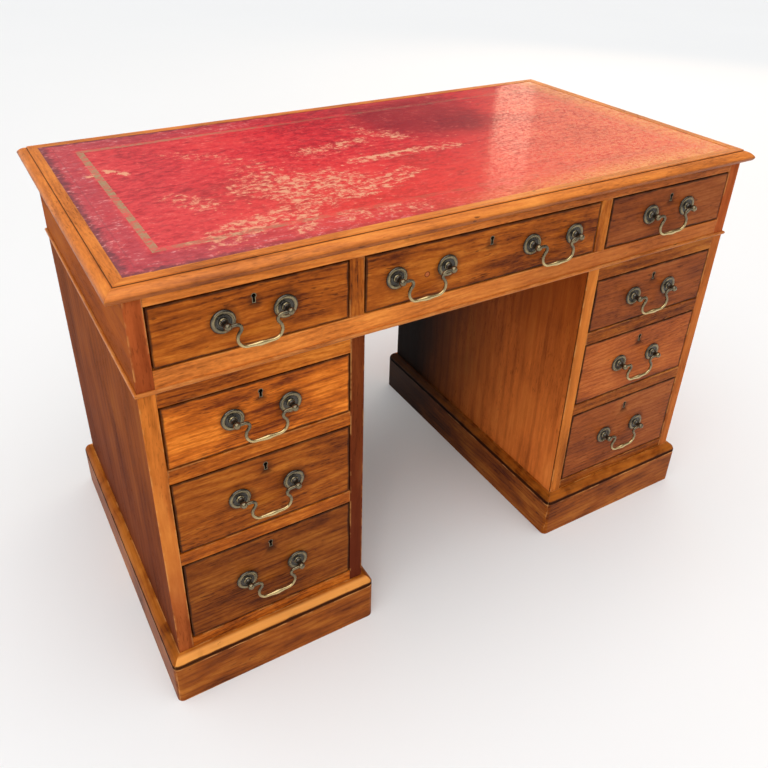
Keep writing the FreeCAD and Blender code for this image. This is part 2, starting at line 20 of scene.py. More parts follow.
import bmesh
import bpy
from mathutils import Matrix, Vector

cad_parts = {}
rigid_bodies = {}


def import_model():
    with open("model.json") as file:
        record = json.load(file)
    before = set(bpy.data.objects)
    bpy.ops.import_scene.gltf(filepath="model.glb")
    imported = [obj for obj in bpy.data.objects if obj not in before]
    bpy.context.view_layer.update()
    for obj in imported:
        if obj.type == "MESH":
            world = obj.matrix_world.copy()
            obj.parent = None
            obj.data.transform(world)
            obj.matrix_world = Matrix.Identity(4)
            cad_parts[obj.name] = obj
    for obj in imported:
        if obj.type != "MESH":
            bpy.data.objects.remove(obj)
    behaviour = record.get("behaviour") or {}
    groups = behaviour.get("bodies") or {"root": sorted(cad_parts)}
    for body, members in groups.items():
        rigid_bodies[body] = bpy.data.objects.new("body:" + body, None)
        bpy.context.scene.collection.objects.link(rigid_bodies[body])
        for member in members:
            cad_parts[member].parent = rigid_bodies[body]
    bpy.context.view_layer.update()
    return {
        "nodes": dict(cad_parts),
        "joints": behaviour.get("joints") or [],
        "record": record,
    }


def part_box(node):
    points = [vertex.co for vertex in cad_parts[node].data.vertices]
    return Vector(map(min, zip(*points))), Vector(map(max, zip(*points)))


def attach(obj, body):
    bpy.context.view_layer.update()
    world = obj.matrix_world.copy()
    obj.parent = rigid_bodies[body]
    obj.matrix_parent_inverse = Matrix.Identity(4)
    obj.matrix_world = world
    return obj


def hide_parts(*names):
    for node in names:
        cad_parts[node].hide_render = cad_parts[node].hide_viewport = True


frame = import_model()

Pair = tuple[float, float]
Triple = tuple[float, float, float]
Stroke = tuple[float, float, float, float, float]
Plane = tuple[Vector, Vector]
log = logging.getLogger("desk")

BODIES = frame["record"]["behaviour"]["bodies"]
CARCASS = "carcass"
NOISE_MIDDLE = 0.5


class Value:
    """A socket of a node tree, which Python's operators join to numbers and to other sockets."""

    def __init__(self, shade: "Shade", socket: bpy.types.NodeSocket | None) -> None:
        """Keep the socket and the tree that it belongs to."""
        self.shade = shade
        self.socket = socket

    def __add__(self, other: "Operand") -> "Value":
        """The sum of the two."""
        return self.shade.maths("ADD", self, other)

    def __radd__(self, other: "Operand") -> "Value":
        """The sum, with the plain number first."""
        return self.shade.maths("ADD", other, self)

    def __sub__(self, other: "Operand") -> "Value":
        """What is left of this when the other is taken away."""
        return self.shade.maths("SUBTRACT", self, other)

    def __rsub__(self, other: "Operand") -> "Value":
        """What is left of a plain number when this is taken away."""
        return self.shade.maths("SUBTRACT", other, self)

    def __mul__(self, other: "Operand") -> "Value":
        """The product of the two."""
        return self.shade.maths("MULTIPLY", self, other)

    def __rmul__(self, other: "Operand") -> "Value":
        """The product, with the plain number first."""
        return self.shade.maths("MULTIPLY", other, self)

    def __truediv__(self, other: "Operand") -> "Value":
        """This divided by the other."""
        return self.shade.maths("DIVIDE", self, other)

    def __rtruediv__(self, other: "Operand") -> "Value":
        """A plain number divided by this."""
        return self.shade.maths("DIVIDE", other, self)

    def __pow__(self, other: "Operand") -> "Value":
        """This raised to a power."""
        return self.shade.maths("POWER", self, other)

    def __abs__(self) -> "Value":
        """This without its sign."""
        return self.shade.maths("ABSOLUTE", self)

    def least(self, other: "Operand") -> "Value":
        """The smaller of the two."""
        return self.shade.maths("MINIMUM", self, other)

    def most(self, other: "Operand") -> "Value":
        """The larger of the two."""
        return self.shade.maths("MAXIMUM", self, other)

    def wave(self) -> "Value":
        """The sine of this."""
        return self.shade.maths("SINE", self)

    def hypot(self, other: "Value") -> "Value":
        """The long side of a right-angled triangle whose short sides are these two."""
        return (self * self + other * other) ** 0.5

    def spread(self, width: float) -> "Value":
        """A noise, moved to lie about 0 and made this wide."""
        return (self - NOISE_MIDDLE) * width

    def step(self, low: float, high: float, least: float = 0.0, most: float = 1.0) -> "Value":
        """A smooth step.

        Args:
            low: Where it starts.
            high: Where it ends, which may be the smaller number of the two.
            least: Its height at the start.
            most: Its height at the end.

        Returns:
            Its height here.
        """
        return self.shade.node(
            "ShaderNodeMapRange",
            {"interpolation_type": "SMOOTHSTEP"},
            {"Value": self, "From Min": low, "From Max": high, "To Min": least, "To Max": most},
        )


Operand = Value | float | Triple


class Shade:
    """A node tree that is being drawn up, a material's or the world's."""

    def __init__(self, tree: bpy.types.NodeTree) -> None:
        """Start with an empty tree."""
        tree.nodes.clear()
        self.tree = tree

    def node(
        self,
        kind: str,
        settings: Mapping[str, Any] | None = None,
        inputs: Mapping[str | int, Operand] | None = None,
        output: str | int = 0,
    ) -> Value:
        """Add one node.

        Args:
            kind: The type of node.
            settings: Its properties, set before its sockets; a ramp's colours are its "stops".
            inputs: The values or links of its sockets, by name or by place.
            output: The socket to hand back, by name or by place.

        Returns:
            That output.
        """
        made = self.tree.nodes.new(kind)
        for name, setting in (settings or {}).items():
            if name == "stops":
                self.set_stops(made.color_ramp, setting)
            else:
                setattr(made, name, setting)
        for key, given in (inputs or {}).items():
            socket = made.inputs[key]
            if isinstance(given, Value):
                self.tree.links.new(given.socket, socket)
            elif socket.type == "RGBA":
                socket.default_value = (*given, 1.0)
            elif socket.type == "VECTOR" and not isinstance(given, tuple):
                socket.default_value = (given, given, given)
            else:
                socket.default_value = given
        return Value(self, made.outputs[output] if made.outputs else None)

    @staticmethod
    def set_stops(ramp: bpy.types.ColorRamp, stops: Sequence[tuple[float, Triple]]) -> None:
        """Give a colour ramp its stops.

        Args:
            ramp: The ramp.
            stops: Each stop's place and colour, from left to right.
        """
        while len(ramp.elements) < len(stops):
            ramp.elements.new(1.0)
        for element, (position, colour) in zip(ramp.elements, stops):
            element.position = position
            element.color = (*colour, 1.0)

    def maths(self, operation: str, *operands: Operand) -> Value:
        """Add a Math node, or a Vector Math node where an operand has three numbers.

        Args:
            operation: What the node does.
            operands: What it does it to.

        Returns:
            The result.
        """
        threefold = any(
            isinstance(given, tuple) or isinstance(given, Value) and given.socket.type in {"VECTOR", "RGBA"}
            for given in operands
        )
        kind = "ShaderNodeVectorMath" if threefold else "ShaderNodeMath"
        return self.node(kind, {"operation": operation}, dict(enumerate(operands)))

    def attribute(self, name: str, output: str = "Vector") -> Value:
        """What the mesh stores under a name."""
        return self.node("ShaderNodeAttribute", {"attribute_name": name}, output=output)

    def parts(self, vector: Value) -> tuple[Value, Value, Value]:
        """The three numbers of a vector."""
        first = self.node("ShaderNodeSeparateXYZ", inputs={0: vector})
        return tuple(Value(self, socket) for socket in first.socket.node.outputs)

    def vector(self, *numbers: Operand) -> Value:
        """A vector of up to three numbers, the rest of them 0."""
        return self.node("ShaderNodeCombineXYZ", inputs=dict(enumerate(numbers)))

    def mixed(self, share: Operand, first: Operand, second: Operand) -> Value:
        """The second colour over the first, by a share from 0 to 1."""
        return self.node("ShaderNodeMix", {"data_type": "RGBA"}, {0: share, 6: first, 7: second}, output=2)

    def ramp(self, tone: Value, stops: Sequence[tuple[float, Triple]]) -> Value:
        """The colour that a tone picks from a row of stops."""
        return self.node("ShaderNodeValToRGB", {"stops": stops}, {"Fac": tone})

    def bump(self, height: Value, depth: float, strength: float) -> Value:
        """The normal of a surface with a relief, its depth in metres."""
        return self.node("ShaderNodeBump", inputs={"Height": height, "Distance": depth, "Strength": strength})

    def edge_distance(self) -> Value:
        """How far a point of a board's surface is from the board's nearest edge.

        Returns:
            The second smallest of its distances to the three pairs of sides: on a surface, one is 0.
        """
        place = self.attribute("place")
        a, b, c = self.parts(place.least(self.attribute("extent") - place))
        return a.least(b).most(a.most(b).least(c))


@dataclass(frozen=True)
class Pattern:
    """A kind of noise: its blotches to a metre along each axis, its finer layers and their strength."""

    stretch: Triple
    layers: float = 2.0
    strength: float = 0.5

    def at(self, where: Value) -> Value:
        """Look the noise up.

        Args:
            where: The point, in metres.

        Returns:
            The noise there, which lies about its middle.
        """
        return where.shade.node(
            "ShaderNodeTexNoise",
            inputs={
                "Vector": where * self.stretch,
                "Scale": 1.0,
                "Detail": self.layers,
                "Roughness": self.strength,
            },
        )


@dataclass(frozen=True)
class Reach:
    """How far a layer reaches: where it starts, where it is full, and how ragged its edge is.

    It is at its least before the start and at its most where it is full.
    """

    start: float
    full: float
    ragged: float = 0.0
    least: float = 0.0
    most: float = 1.0

    def at(self, where: Value, noise: Value | None = None) -> Value:
        """Work out how much of the layer there is.

        Args:
            where: The length in metres, or the noise, that the layer goes by.
            noise: What makes its edge ragged.

        Returns:
            The layer's share.
        """
        if noise is not None:
            where = where + noise.spread(self.ragged)
        return where.step(self.start, self.full, self.least, self.most)


@dataclass(frozen=True)
class Finish(ABC):
    """A surface finish: its material's name, and the record's slot that it stands for."""

    name: str
    slot: str

    def material(self) -> bpy.types.Material:
        """Find the finish's material, or make it the first time that it is asked for.

        Returns:
            The material.
        """
        found = bpy.data.materials.get(self.name)
        if found is None:
            found = bpy.data.materials.new(self.name)
            found.use_nodes = True
            shade = Shade(found.node_tree)
            shade.node("ShaderNodeOutputMaterial", inputs={"Surface": self.surface(shade)})
        return found

    @abstractmethod
    def surface(self, shade: Shade) -> Value:
        """Draw the finish up.

        Args:
            shade: The material's tree.

        Returns:
            The shader.
        """


@dataclass(frozen=True)
class Spot:
    """What the layers of a wood finish share: the place on a board, in metres, and the board's noises."""

    place: Value
    extent: Value
    from_left: Value
    from_front: Value
    height: Value
    own: Value
    tone: Value
    clouds: Value
    streaks: Value
    flecks: Value
    rub: Value


@dataclass(frozen=True)
class Wood(Finish):
    """Sawn and planed wood, seen by its rings, streaks and flecks, under wax polish or bare."""

    dark: Triple
    middle: Triple
    light: Triple
    worn: Triple
    dirt_and_shade: Triple
    fleck: Triple
    roughness: float
    polish: float
    shine: float = 0.15
    figure: float = 1.0
    fibrous: float = 0.5
    blotched: float = 0.45
    flecked: float = 0.75
    edge_wear: float = 0.5
    edge_grime_and_shade: float = 0.0
    ring_width: float = 0.009
    nicked: float = 0.0
    groove_height: float | None = None
    groove_half: float = 0.0030
    moulding_wear_and_highlight: float = 0.3
    front_moulding_rub: float = 0.0
    painted_highlight: Triple = (0.88, 0.36, 0.08)
    stain: Triple | None = None
    stain_and_shade_below: Triple | None = None
    facing_shade_below: Triple = (1.0, 1.0, 1.0)
    ruddy: Triple = (1.05, 0.78, 1.25)
    shaded_right_end: Triple | None = None
    shade_under_nose: Triple | None = None
    kneehole_shading: float = 0.0
    handled: bool = False
    handle_half_span: float = 0.045
    tail: Triple = (0.40, 0.24, 0.11)
    tail_spacing: float = 0.031
    tail_depth: float = 0.014
    plug: Triple = (0.55, 0.14, 0.05)
    plug_radius: float = 0.0042
    plugs: tuple[Pair, ...] = ()

    # The grain's noises, from the sway of the trunk to single pores, and those of its wear
    SWAY = Pattern((2.6, 7.0, 7.0))
    KINK = Pattern((15.0, 40.0, 40.0))
    CLOUDS = Pattern((4.5, 11.0, 11.0), layers=3.0)
    BLOTCHES = Pattern((13.0, 34.0, 34.0))
    STREAKS = Pattern((7.0, 95.0, 95.0), layers=5.0, strength=0.62)
    FIBRES = Pattern((24.0, 330.0, 330.0), layers=3.0, strength=0.7)
    SPECKS = Pattern((110.0, 290.0, 290.0))
    DASHES = Pattern((60.0, 420.0, 420.0))
    RUB = Pattern((34.0, 34.0, 34.0), layers=3.0)
    NICKS = Pattern((38.0, 120.0, 120.0))

    # How far apart boards lie in the log, how far its grain sways, and where its heart is, in metres
    LOG_SPREAD = 9.0
    SWAY_WIDTH = 0.035
    KINK_WIDTH = 0.005
    HEART_ASIDE = 0.14
    HEART_BEHIND = 0.012
    HEART_DRIFT = 0.05
    HEART_LEAN = 0.1

    # What each noise adds to the figure, where its colours lie, and how light a board's tone makes it
    CLOUD_SHARE = 0.7
    STREAK_SHARE = 0.45
    RING_SHARE = 0.1
    SPECK_SHARE = 0.6
    RING_REACH = Reach(0.1, 1.0)
    DASH_REACH = Reach(0.55, 0.70)
    FLECK_REACH = Reach(0.60, 0.4, ragged=0.6)
    COLOUR_STOPS = (0.22, 0.5, 0.78)
    LOWEST_TONE = 0.6
    TONE_SHARE = 0.8

    # Where the painted shade on the right end and below a nose, the stain, its painted shade towards the
    # bottom, and the redder facings reach
    RIGHT_SHADE_REACH = Reach(0.25, 0.85, ragged=0.2)
    NOSE_SHADE_REACH = Reach(0.008, 0.014, ragged=0.004)
    FACING_REACH = Reach(0.0012, 0.0035, ragged=0.002)
    LOWER_SHADE_REACH = Reach(0.6, 0.15, ragged=0.4)
    RUDDY_REACH = Reach(0.5, 0.25)

    # A plinth's groove, darkened with dirt and painted shade, the lip below it, and the moulding above it
    # with its painted highlight
    GROOVE_RAGGED = 0.004
    GROOVE_DIRT_AND_SHADE_REACH = Reach(0.0012, 0.0)
    LIP_OFFSET = 0.0022
    LIP_REACH = Reach(0.0014, 0.0004)
    LIP_SIDE = Reach(0.0, 0.001)
    LIP_RUB = Reach(0.4, 0.62)
    MOULDING_REACH = Reach(0.002, 0.006)
    MOULDING_PATCHES = Reach(0.3, 0.6)
    FRONT_BOARD = Reach(0.3, 0.1)
    HIGHLIGHT_REACH = Reach(0.0130, 0.0075)
    HIGHLIGHT_PATCHES = Reach(0.2, 0.45, least=0.1, most=0.5)
    HIGHLIGHT_STREAKS = 0.8

    # Dirt and painted shade in hollows, dirt and painted shadow along the fronts' joints, worn edges, painted
    # shade in the kneehole, and nicks
    HOLLOW_FALL = 5.0
    HOLLOW_DIRT_AND_SHADE = 0.85
    EDGE_GRIME_AND_SHADE_REACH = Reach(0.0046, 0.0018, ragged=0.006)
    WEAR_REACH = Reach(0.0035, 0.0, ragged=0.006)
    WEAR_RUB = Reach(0.46, 0.62)
    KNEEHOLE_SHADE_REACH = Reach(0.15, 0.85, ragged=0.2)
    NICK_REACH = Reach(0.70, 0.76)

    # Marks of hands about a rosette's post and below a keyhole
    HALO_REACH = Reach(0.027, 0.017, ragged=0.02, most=0.4)
    SMEAR_REACH = Reach(0.018, 0.007, ragged=0.016, most=0.4)
    SMEAR_DROP = 0.004
    SMEAR_NARROWING = 1.8

    # Dovetails on a front's ends, as shares of their spacing, and plugs in its old holes
    TAIL_SPLAY = 0.1
    TAIL_REACH = Reach(0.29, 0.27, most=0.9)
    END_GRAIN_REACH = Reach(0.0008, 0.0006)
    TAIL_FADE = 0.0005
    PLUG_REACH = Reach(0.0004, 0.0, most=0.6)
    PLUG_RING_REACH = Reach(0.0012, 0.0004, most=0.8)

    # What the grain and the dirt do to the gloss and the relief
    STREAK_GLOSS = 0.2
    FLECK_GLOSS = 0.15
    WEAR_GLOSS = 0.1
    HOLLOW_GLOSS = 0.3
    STREAK_RELIEF = 0.4
    HOLLOW_RELIEF = 0.5
    RELIEF_DEPTH = 0.0004
    RELIEF_STRENGTH = 0.35
    POLISH_ROUGHNESS = 0.2

    def surface(self, shade: Shade) -> Value:
        """Draw the wood up from each board's own grain.

        Args:
            shade: The material's tree.

        Returns:
            The shader.
        """
        spot, colour = self.figured(shade)
        colour = self.shaded_and_stained(shade, spot, colour)
        # Hollows and the plinth's groove are darkened: dirt and painted shade together
        hollow = shade.attribute("hollow", output="Fac") ** self.HOLLOW_FALL
        if self.groove_height is not None:
            colour, groove = self.moulded(shade, spot, colour)
            hollow = hollow.most(groove)
        colour = shade.mixed(hollow * self.HOLLOW_DIRT_AND_SHADE, colour, self.dirt_and_shade)
        # Dirt and painted shadow along the joints, then edges rubbed pale, both uneven
        edge = shade.edge_distance()
        if self.edge_grime_and_shade > 0:
            colour = shade.mixed(self.EDGE_GRIME_AND_SHADE_REACH.at(edge, spot.rub) * self.edge_grime_and_shade, colour, self.dirt_and_shade)
        wear = self.WEAR_REACH.at(edge, spot.rub) * self.WEAR_RUB.at(spot.rub)
        colour = shade.mixed(wear * self.edge_wear, colour, self.worn)
        # Painted shade deep in the kneehole: the boards beside it darken towards the back
        if self.kneehole_shading > 0:
            soot = self.KNEEHOLE_SHADE_REACH.at(shade.attribute("soot", output="Fac"), spot.clouds)
            colour = colour * (1 - soot * self.kneehole_shading)
        if self.nicked > 0:
            nicks = self.NICK_REACH.at(self.NICKS.at(spot.own))
            colour = shade.mixed(nicks * self.nicked, colour, self.fleck)
        if self.handled:
            colour = self.handled_marks(shade, spot, colour)
        gloss = self.roughness + spot.streaks.spread(self.STREAK_GLOSS) + spot.flecks * self.FLECK_GLOSS
        gloss = gloss + wear * self.WEAR_GLOSS + hollow * self.HOLLOW_GLOSS
        bumps = spot.streaks * self.STREAK_RELIEF - spot.flecks - hollow * self.HOLLOW_RELIEF
        return shade.node(
            "ShaderNodeBsdfPrincipled",
            inputs={
                "Base Color": colour,
                "Roughness": gloss,
                "Normal": shade.bump(bumps, self.RELIEF_DEPTH, self.RELIEF_STRENGTH),
                "Specular IOR Level": self.shine,
                "Coat Weight": self.polish,
                "Coat Roughness": self.POLISH_ROUGHNESS,
            },
        )

    def figured(self, shade: Shade) -> tuple[Spot, Value]:
        """Draw a board's figure: growth rings, streaks, clouds and flecks.

        The rings lie about a heart that is beside the board and leans a little across it.

        Args:
            shade: The material's tree.

        Returns:
            What the other layers share with it, and its colour.
        """
        grain = shade.attribute("grain")
        seed = shade.attribute("seed")
        lean, side, tone = shade.parts(seed)
        along, across, through = shade.parts(grain)
        own = grain + seed * self.LOG_SPREAD
        sway = self.SWAY.at(own)
        bend = sway.spread(self.SWAY_WIDTH) + self.KINK.at(own).spread(self.KINK_WIDTH)
        bent = own + bend * (0.0, 1.0, 1.0)
        off_side = across + side.spread(self.HEART_ASIDE)
        off_face = through + (self.HEART_BEHIND + lean * self.HEART_DRIFT)
        radius = off_side.hypot(off_face) + along * lean.spread(self.HEART_LEAN) + bend
        rings = self.RING_REACH.at((radius * (2 * math.pi / self.ring_width)).wave())
        streaks = self.STREAKS.at(bent)
        clouds = self.CLOUDS.at(own)
        flecks = self.DASH_REACH.at(self.DASHES.at(bent)) * self.FLECK_REACH.at(clouds, sway)
        broad = clouds.spread(self.CLOUD_SHARE) + self.BLOTCHES.at(own).spread(self.blotched)
        lines = streaks.spread(self.STREAK_SHARE) - rings * self.RING_SHARE
        fine = self.FIBRES.at(bent) - NOISE_MIDDLE + self.SPECKS.at(bent).spread(self.SPECK_SHARE)
        depth = NOISE_MIDDLE + (broad + lines + fine * self.fibrous) * self.figure
        colour = shade.ramp(depth, list(zip(self.COLOUR_STOPS, (self.dark, self.middle, self.light))))
        colour = shade.mixed(flecks * self.flecked, colour, self.fleck)
        colour = colour * (self.LOWEST_TONE + tone * self.TONE_SHARE)
        place, extent = shade.attribute("place"), shade.attribute("extent")
        noises = {"clouds": clouds, "streaks": streaks, "flecks": flecks, "rub": self.RUB.at(own)}
        return Spot(place, extent, *shade.parts(place), own=own, tone=tone, **noises), colour

    def shaded_and_stained(self, shade: Shade, spot: Spot, colour: Value) -> Value:
        """Paint shade on a board's right end and below a moulding's nose, and stain its faces behind the
        front edge, partly as painted shade.

        Args:
            shade: The material's tree.
            spot: What the layers share.
            colour: The colour so far.

        Returns:
            The colour with this layer.
        """
        # Painted shade: the right end is darker than the left
        if self.shaded_right_end is not None:
            dim = self.RIGHT_SHADE_REACH.at(spot.from_left, spot.clouds)
            colour = shade.mixed(dim, colour, colour * self.shaded_right_end)
        # Painted shade: a moulding is darker below its nose
        if self.shade_under_nose is not None:
            _, _, below_top = shade.parts(spot.extent - spot.place)
            under = self.NOSE_SHADE_REACH.at(below_top, spot.rub)
            colour = shade.mixed(under, colour, colour * self.shade_under_nose)
        # The faces behind the front edge are stained darker, partly as painted shade, and painted shade
        # changes the stain and the facings towards the bottom; the front edges stay unstained, darker facings
        # redder
        if self.stain is not None:
            covered = self.FACING_REACH.at(spot.from_front, spot.rub)
            below = self.LOWER_SHADE_REACH.at(spot.height, spot.clouds)
            stain = shade.mixed(below, self.stain, self.stain_and_shade_below or self.stain)
            facing = shade.mixed(self.RUDDY_REACH.at(spot.tone), colour, colour * self.ruddy)
            facing = shade.mixed(below, facing, facing * self.facing_shade_below)
            colour = shade.mixed(covered, facing, colour * stain)
        return colour

    def moulded(self, shade: Shade, spot: Spot, colour: Value) -> tuple[Value, Value]:
        """Paint highlights, partly wear, on a plinth's moulding above its groove, and rub the lip below the
        groove pale.

        Args:
            shade: The material's tree.
            spot: What the layers share.
            colour: The colour so far.

        Returns:
            The colour with this layer, and how dark the groove is painted, with dirt and shade.
        """
        above = spot.height - self.groove_height
        moulding = self.MOULDING_REACH.at(above)
        # Painted highlight, partly wear, over the whole moulding
        pale = moulding * self.MOULDING_PATCHES.at(spot.rub)
        colour = shade.mixed(pale * self.moulding_wear_and_highlight, colour, self.light)
        # Painted highlight on the front board, the one that isn't deep, fading towards its back
        _, board_depth, _ = shade.parts(spot.extent)
        painted_highlight = moulding * self.FRONT_BOARD.at(board_depth) * self.HIGHLIGHT_REACH.at(spot.from_front)
        painted_highlight = painted_highlight * (self.HIGHLIGHT_PATCHES.at(spot.rub) + spot.streaks * self.HIGHLIGHT_STREAKS)
        colour = shade.mixed(painted_highlight * self.front_moulding_rub, colour, self.painted_highlight)
        from_groove = abs(above) - self.groove_half + spot.rub.spread(self.GROOVE_RAGGED)
        lip = self.LIP_REACH.at(abs(from_groove - self.LIP_OFFSET))
        lip = lip * self.LIP_SIDE.at(self.groove_height - spot.height) * self.LIP_RUB.at(spot.rub)
        colour = shade.mixed(lip * self.edge_wear, colour, self.worn)
        return colour, self.GROOVE_DIRT_AND_SHADE_REACH.at(from_groove)

    def handled_marks(self, shade: Shade, spot: Spot, colour: Value) -> Value:
        """Mark a drawer front: dirt where hands have been, dovetails on its ends, plugs in old holes.

        Args:
            shade: The material's tree.
            spot: What the layers share.
            colour: The colour so far.

        Returns:
            The colour with these marks.
        """
        from_middle, offset, from_pins = shade.parts(shade.attribute("handle"))
        from_post = abs(abs(from_middle) - offset) - self.handle_half_span
        halo = self.HALO_REACH.at(from_post.hypot(from_pins), spot.rub)
        key_x, _, key_z = shade.parts(shade.attribute("keyhole"))
        below = key_z + self.SMEAR_DROP
        from_keyhole = (key_x * key_x * self.SMEAR_NARROWING + below * below) ** 0.5
        smear = self.SMEAR_REACH.at(from_keyhole, spot.rub)
        colour = shade.mixed(halo.most(smear), colour, self.dirt_and_shade)
        # On the front's ends the tails of the drawer's sides show, wider at their tips
        beyond = spot.extent - spot.place
        from_end, _, _ = shade.parts(spot.place.least(beyond))
        _, from_back, from_top = shade.parts(beyond)
        turn = shade.node("ShaderNodeMath", {"operation": "FRACT"}, {0: from_top / self.tail_spacing})
        swing = abs(turn - 0.5) - from_back * (self.TAIL_SPLAY / self.tail_depth)
        tails = self.TAIL_REACH.at(swing) * self.END_GRAIN_REACH.at(from_end)
        tails = tails * from_back.step(self.tail_depth, self.tail_depth - self.TAIL_FADE)
        colour = shade.mixed(tails, colour, self.tail)
        # Old holes have been filled with plugs of another wood
        for plug_x, plug_z in self.plugs:
            outside = (from_middle - plug_x).hypot(from_pins - plug_z) - self.plug_radius
            colour = shade.mixed(self.PLUG_REACH.at(outside), colour, self.plug)
            colour = shade.mixed(self.PLUG_RING_REACH.at(abs(outside)), colour, self.dark)
        return colour


@dataclass(frozen=True)
class Hide:
    """What the layers of the leather share: the place on it, in metres from its edges, and its noises."""

    place: Value
    x: Value
    y: Value
    to_right: Value
    near_x: Value
    near_y: Value
    edge: Value
    leftward: Value
    outside: Value
    clouds: Value
    mottle: Value
    flecks: Value
    strokes: Value
    counter: Value
    nicks: Value


@dataclass(frozen=True)
class Leather(Finish):
    """A crimson skiver, scuffed to tan in the middle, with a gilt tooled band round it.

    A stroke runs from one point to another and has half its width as its last number.
    """

    crimson: Triple = (0.68, 0.025, 0.036)
    bright: Triple = (0.83, 0.060, 0.054)
    deep: Triple = (0.40, 0.010, 0.022)
    maroon: Triple = (0.17, 0.007, 0.018)
    mauve: Triple = (0.36, 0.052, 0.078)
    border: Triple = (0.075, 0.028, 0.040)
    pink: Triple = (0.82, 0.13, 0.11)
    tan: Triple = (0.82, 0.42, 0.25)
    amber: Triple = (0.78, 0.27, 0.085)
    scarlet: Triple = (0.92, 0.11, 0.06)
    gold: Triple = (0.86, 0.38, 0.10)
    pale: Triple = (0.78, 0.42, 0.40)
    gilt: Triple = (0.40, 0.29, 0.16)
    roughness: float = 0.42
    shine: float = 0.06
    glaze_roughness: float = 0.1
    relief_depth: float = 0.0005
    relief_strength: float = 0.3
    band_inset: float = 0.053
    band_width: float = 0.0105
    line_inset: float = 0.021
    line_width: float = 0.0016
    motif_length: float = 0.011
    shadow_middle: Pair = (0.70, 0.44)
    shadow_half: Pair = (0.15, 0.17)
    scuffs: tuple[Stroke, ...] = (
        (0.19, 0.42, 0.25, 0.38, 0.030),
        (0.25, 0.38, 0.29, 0.31, 0.032),
        (0.29, 0.31, 0.30, 0.15, 0.055),
        (0.27, 0.22, 0.40, 0.17, 0.075),
        (0.14, 0.04, 0.29, 0.11, 0.030),
        (0.29, 0.11, 0.44, 0.13, 0.035),
        (0.10, 0.05, 0.22, 0.10, 0.022),
        (0.26, 0.03, 0.35, 0.20, 0.028),
        (0.34, 0.04, 0.46, 0.03, 0.030),
        (0.43, 0.13, 0.53, 0.17, 0.034),
        (0.40, 0.33, 0.53, 0.35, 0.028),
        (0.46, 0.25, 0.67, 0.25, 0.022),
        (0.13, 0.23, 0.17, 0.18, 0.032),
        (0.54, 0.42, 0.60, 0.34, 0.034),
    )
    worn_ground: tuple[Stroke, ...] = (
        (0.24, 0.12, 0.40, 0.18, 0.18),
        (0.42, 0.28, 0.62, 0.30, 0.12),
    )
    gashes: tuple[Stroke, ...] = (
        (0.045, 0.376, 0.055, 0.376, 0.007),
        (0.073, 0.392, 0.086, 0.382, 0.008),
        (0.097, 0.368, 0.102, 0.362, 0.009),
        (0.49, 0.255, 0.58, 0.260, 0.006),
    )

    # The noises of the dye, the wear and the skin, and how scratches slant
    CLOUDS = Pattern((5.0, 7.0, 1.0), layers=4.0)
    MOTTLE = Pattern((45.0, 75.0, 1.0), layers=4.0, strength=0.65)
    FLECKS = Pattern((150.0, 240.0, 1.0), layers=3.0, strength=0.6)
    SCRATCHES = Pattern((34.0, 105.0, 1.0), layers=5.0, strength=0.68)
    NICKS = Pattern((26.0, 60.0, 1.0), layers=4.0, strength=0.6)
    CLUMPS = Pattern((70.0, 110.0, 1.0), layers=6.0, strength=0.72)
    PEBBLE = Pattern((700.0, 900.0, 1.0))
    SLANT = 0.3
    FALLING_SLANT = 0.22
    RISING_LAYER = 0.7
    NICK_SHIFT = (3.7, 1.9, 0.0)

    # The dye, its stains and a painted shadow
    CLOUD_SHARE = 0.5
    MOTTLE_SHARE = 0.6
    FLECK_SHARE = 0.3
    COLOUR_STOPS = (0.42, 0.55, 0.74)
    SHADOW_REACH = Reach(1.3, 0.2, ragged=2.0, most=0.65)
    NICK_REACH = Reach(0.52, 0.70, most=0.4)
    LEFT_REACH = Reach(0.75, 0.05)
    OUTSIDE_REACH = Reach(0.004, -0.012)
    DIRT_REACH = Reach(0.016, 0.002, ragged=0.05)
    LEFT_DIRT = Reach(0.75, 0.05, least=0.1, most=0.75)
    STRIP_REACH = Reach(0.001, 0.0)
    LINE_SHARE = 0.4

    # What light and rubbing have done to the front and the right
    WARM_REACH = Reach(0.36, 0.06, ragged=0.3, most=0.3)
    WARM_START = Reach(0.02, 0.35)
    AMBER_REACH = Reach(0.45, 1.05, ragged=0.5)
    AMBER_SLANT = 0.7
    AMBER_GRAIN = Reach(0.75, 1.25, least=0.08, most=0.58)
    FRONT_EDGE = Reach(0.06, 0.005, ragged=0.12)
    FRONT_EDGE_START = Reach(0.38, 0.9)
    RIGHT_EDGE = Reach(0.065, 0.02, ragged=0.12, most=0.8)
    GOLD_GRAIN = Reach(0.75, 1.25, least=0.2, most=0.8)

    # Dust, scratches and scuffs
    BROKEN_REACH = Reach(0.57, 0.72, ragged=0.4)
    BROKEN_FLECKS = 0.6
    BROKEN_SCRATCHES = 0.5
    BROKEN_CLOUDS = Reach(0.85, 1.1)
    BROKEN_OUTSIDE = Reach(0.004, -0.012, least=0.25, most=0.8)
    DUST_REACH = Reach(0.42, 0.02, most=0.2)
    SCRATCH_REACH = Reach(0.54, 0.76, most=0.5)
    SCRATCH_FLECKS = 0.3
    CLUMP_WANDER = 0.03
    GRIT_SCRATCHES = 0.6
    SCUFF_WEAR = 0.14
    GROUND_WEAR = 0.07
    PINK_REACH = Reach(0.58, 0.78, most=0.3)
    TAN_REACH = Reach(0.68, 0.84)
    TAN_SHARE = 0.85
    GASH_REACH = Reach(0.9, 1.2)
    GASH_RAGGED = (0.04, 0.05)

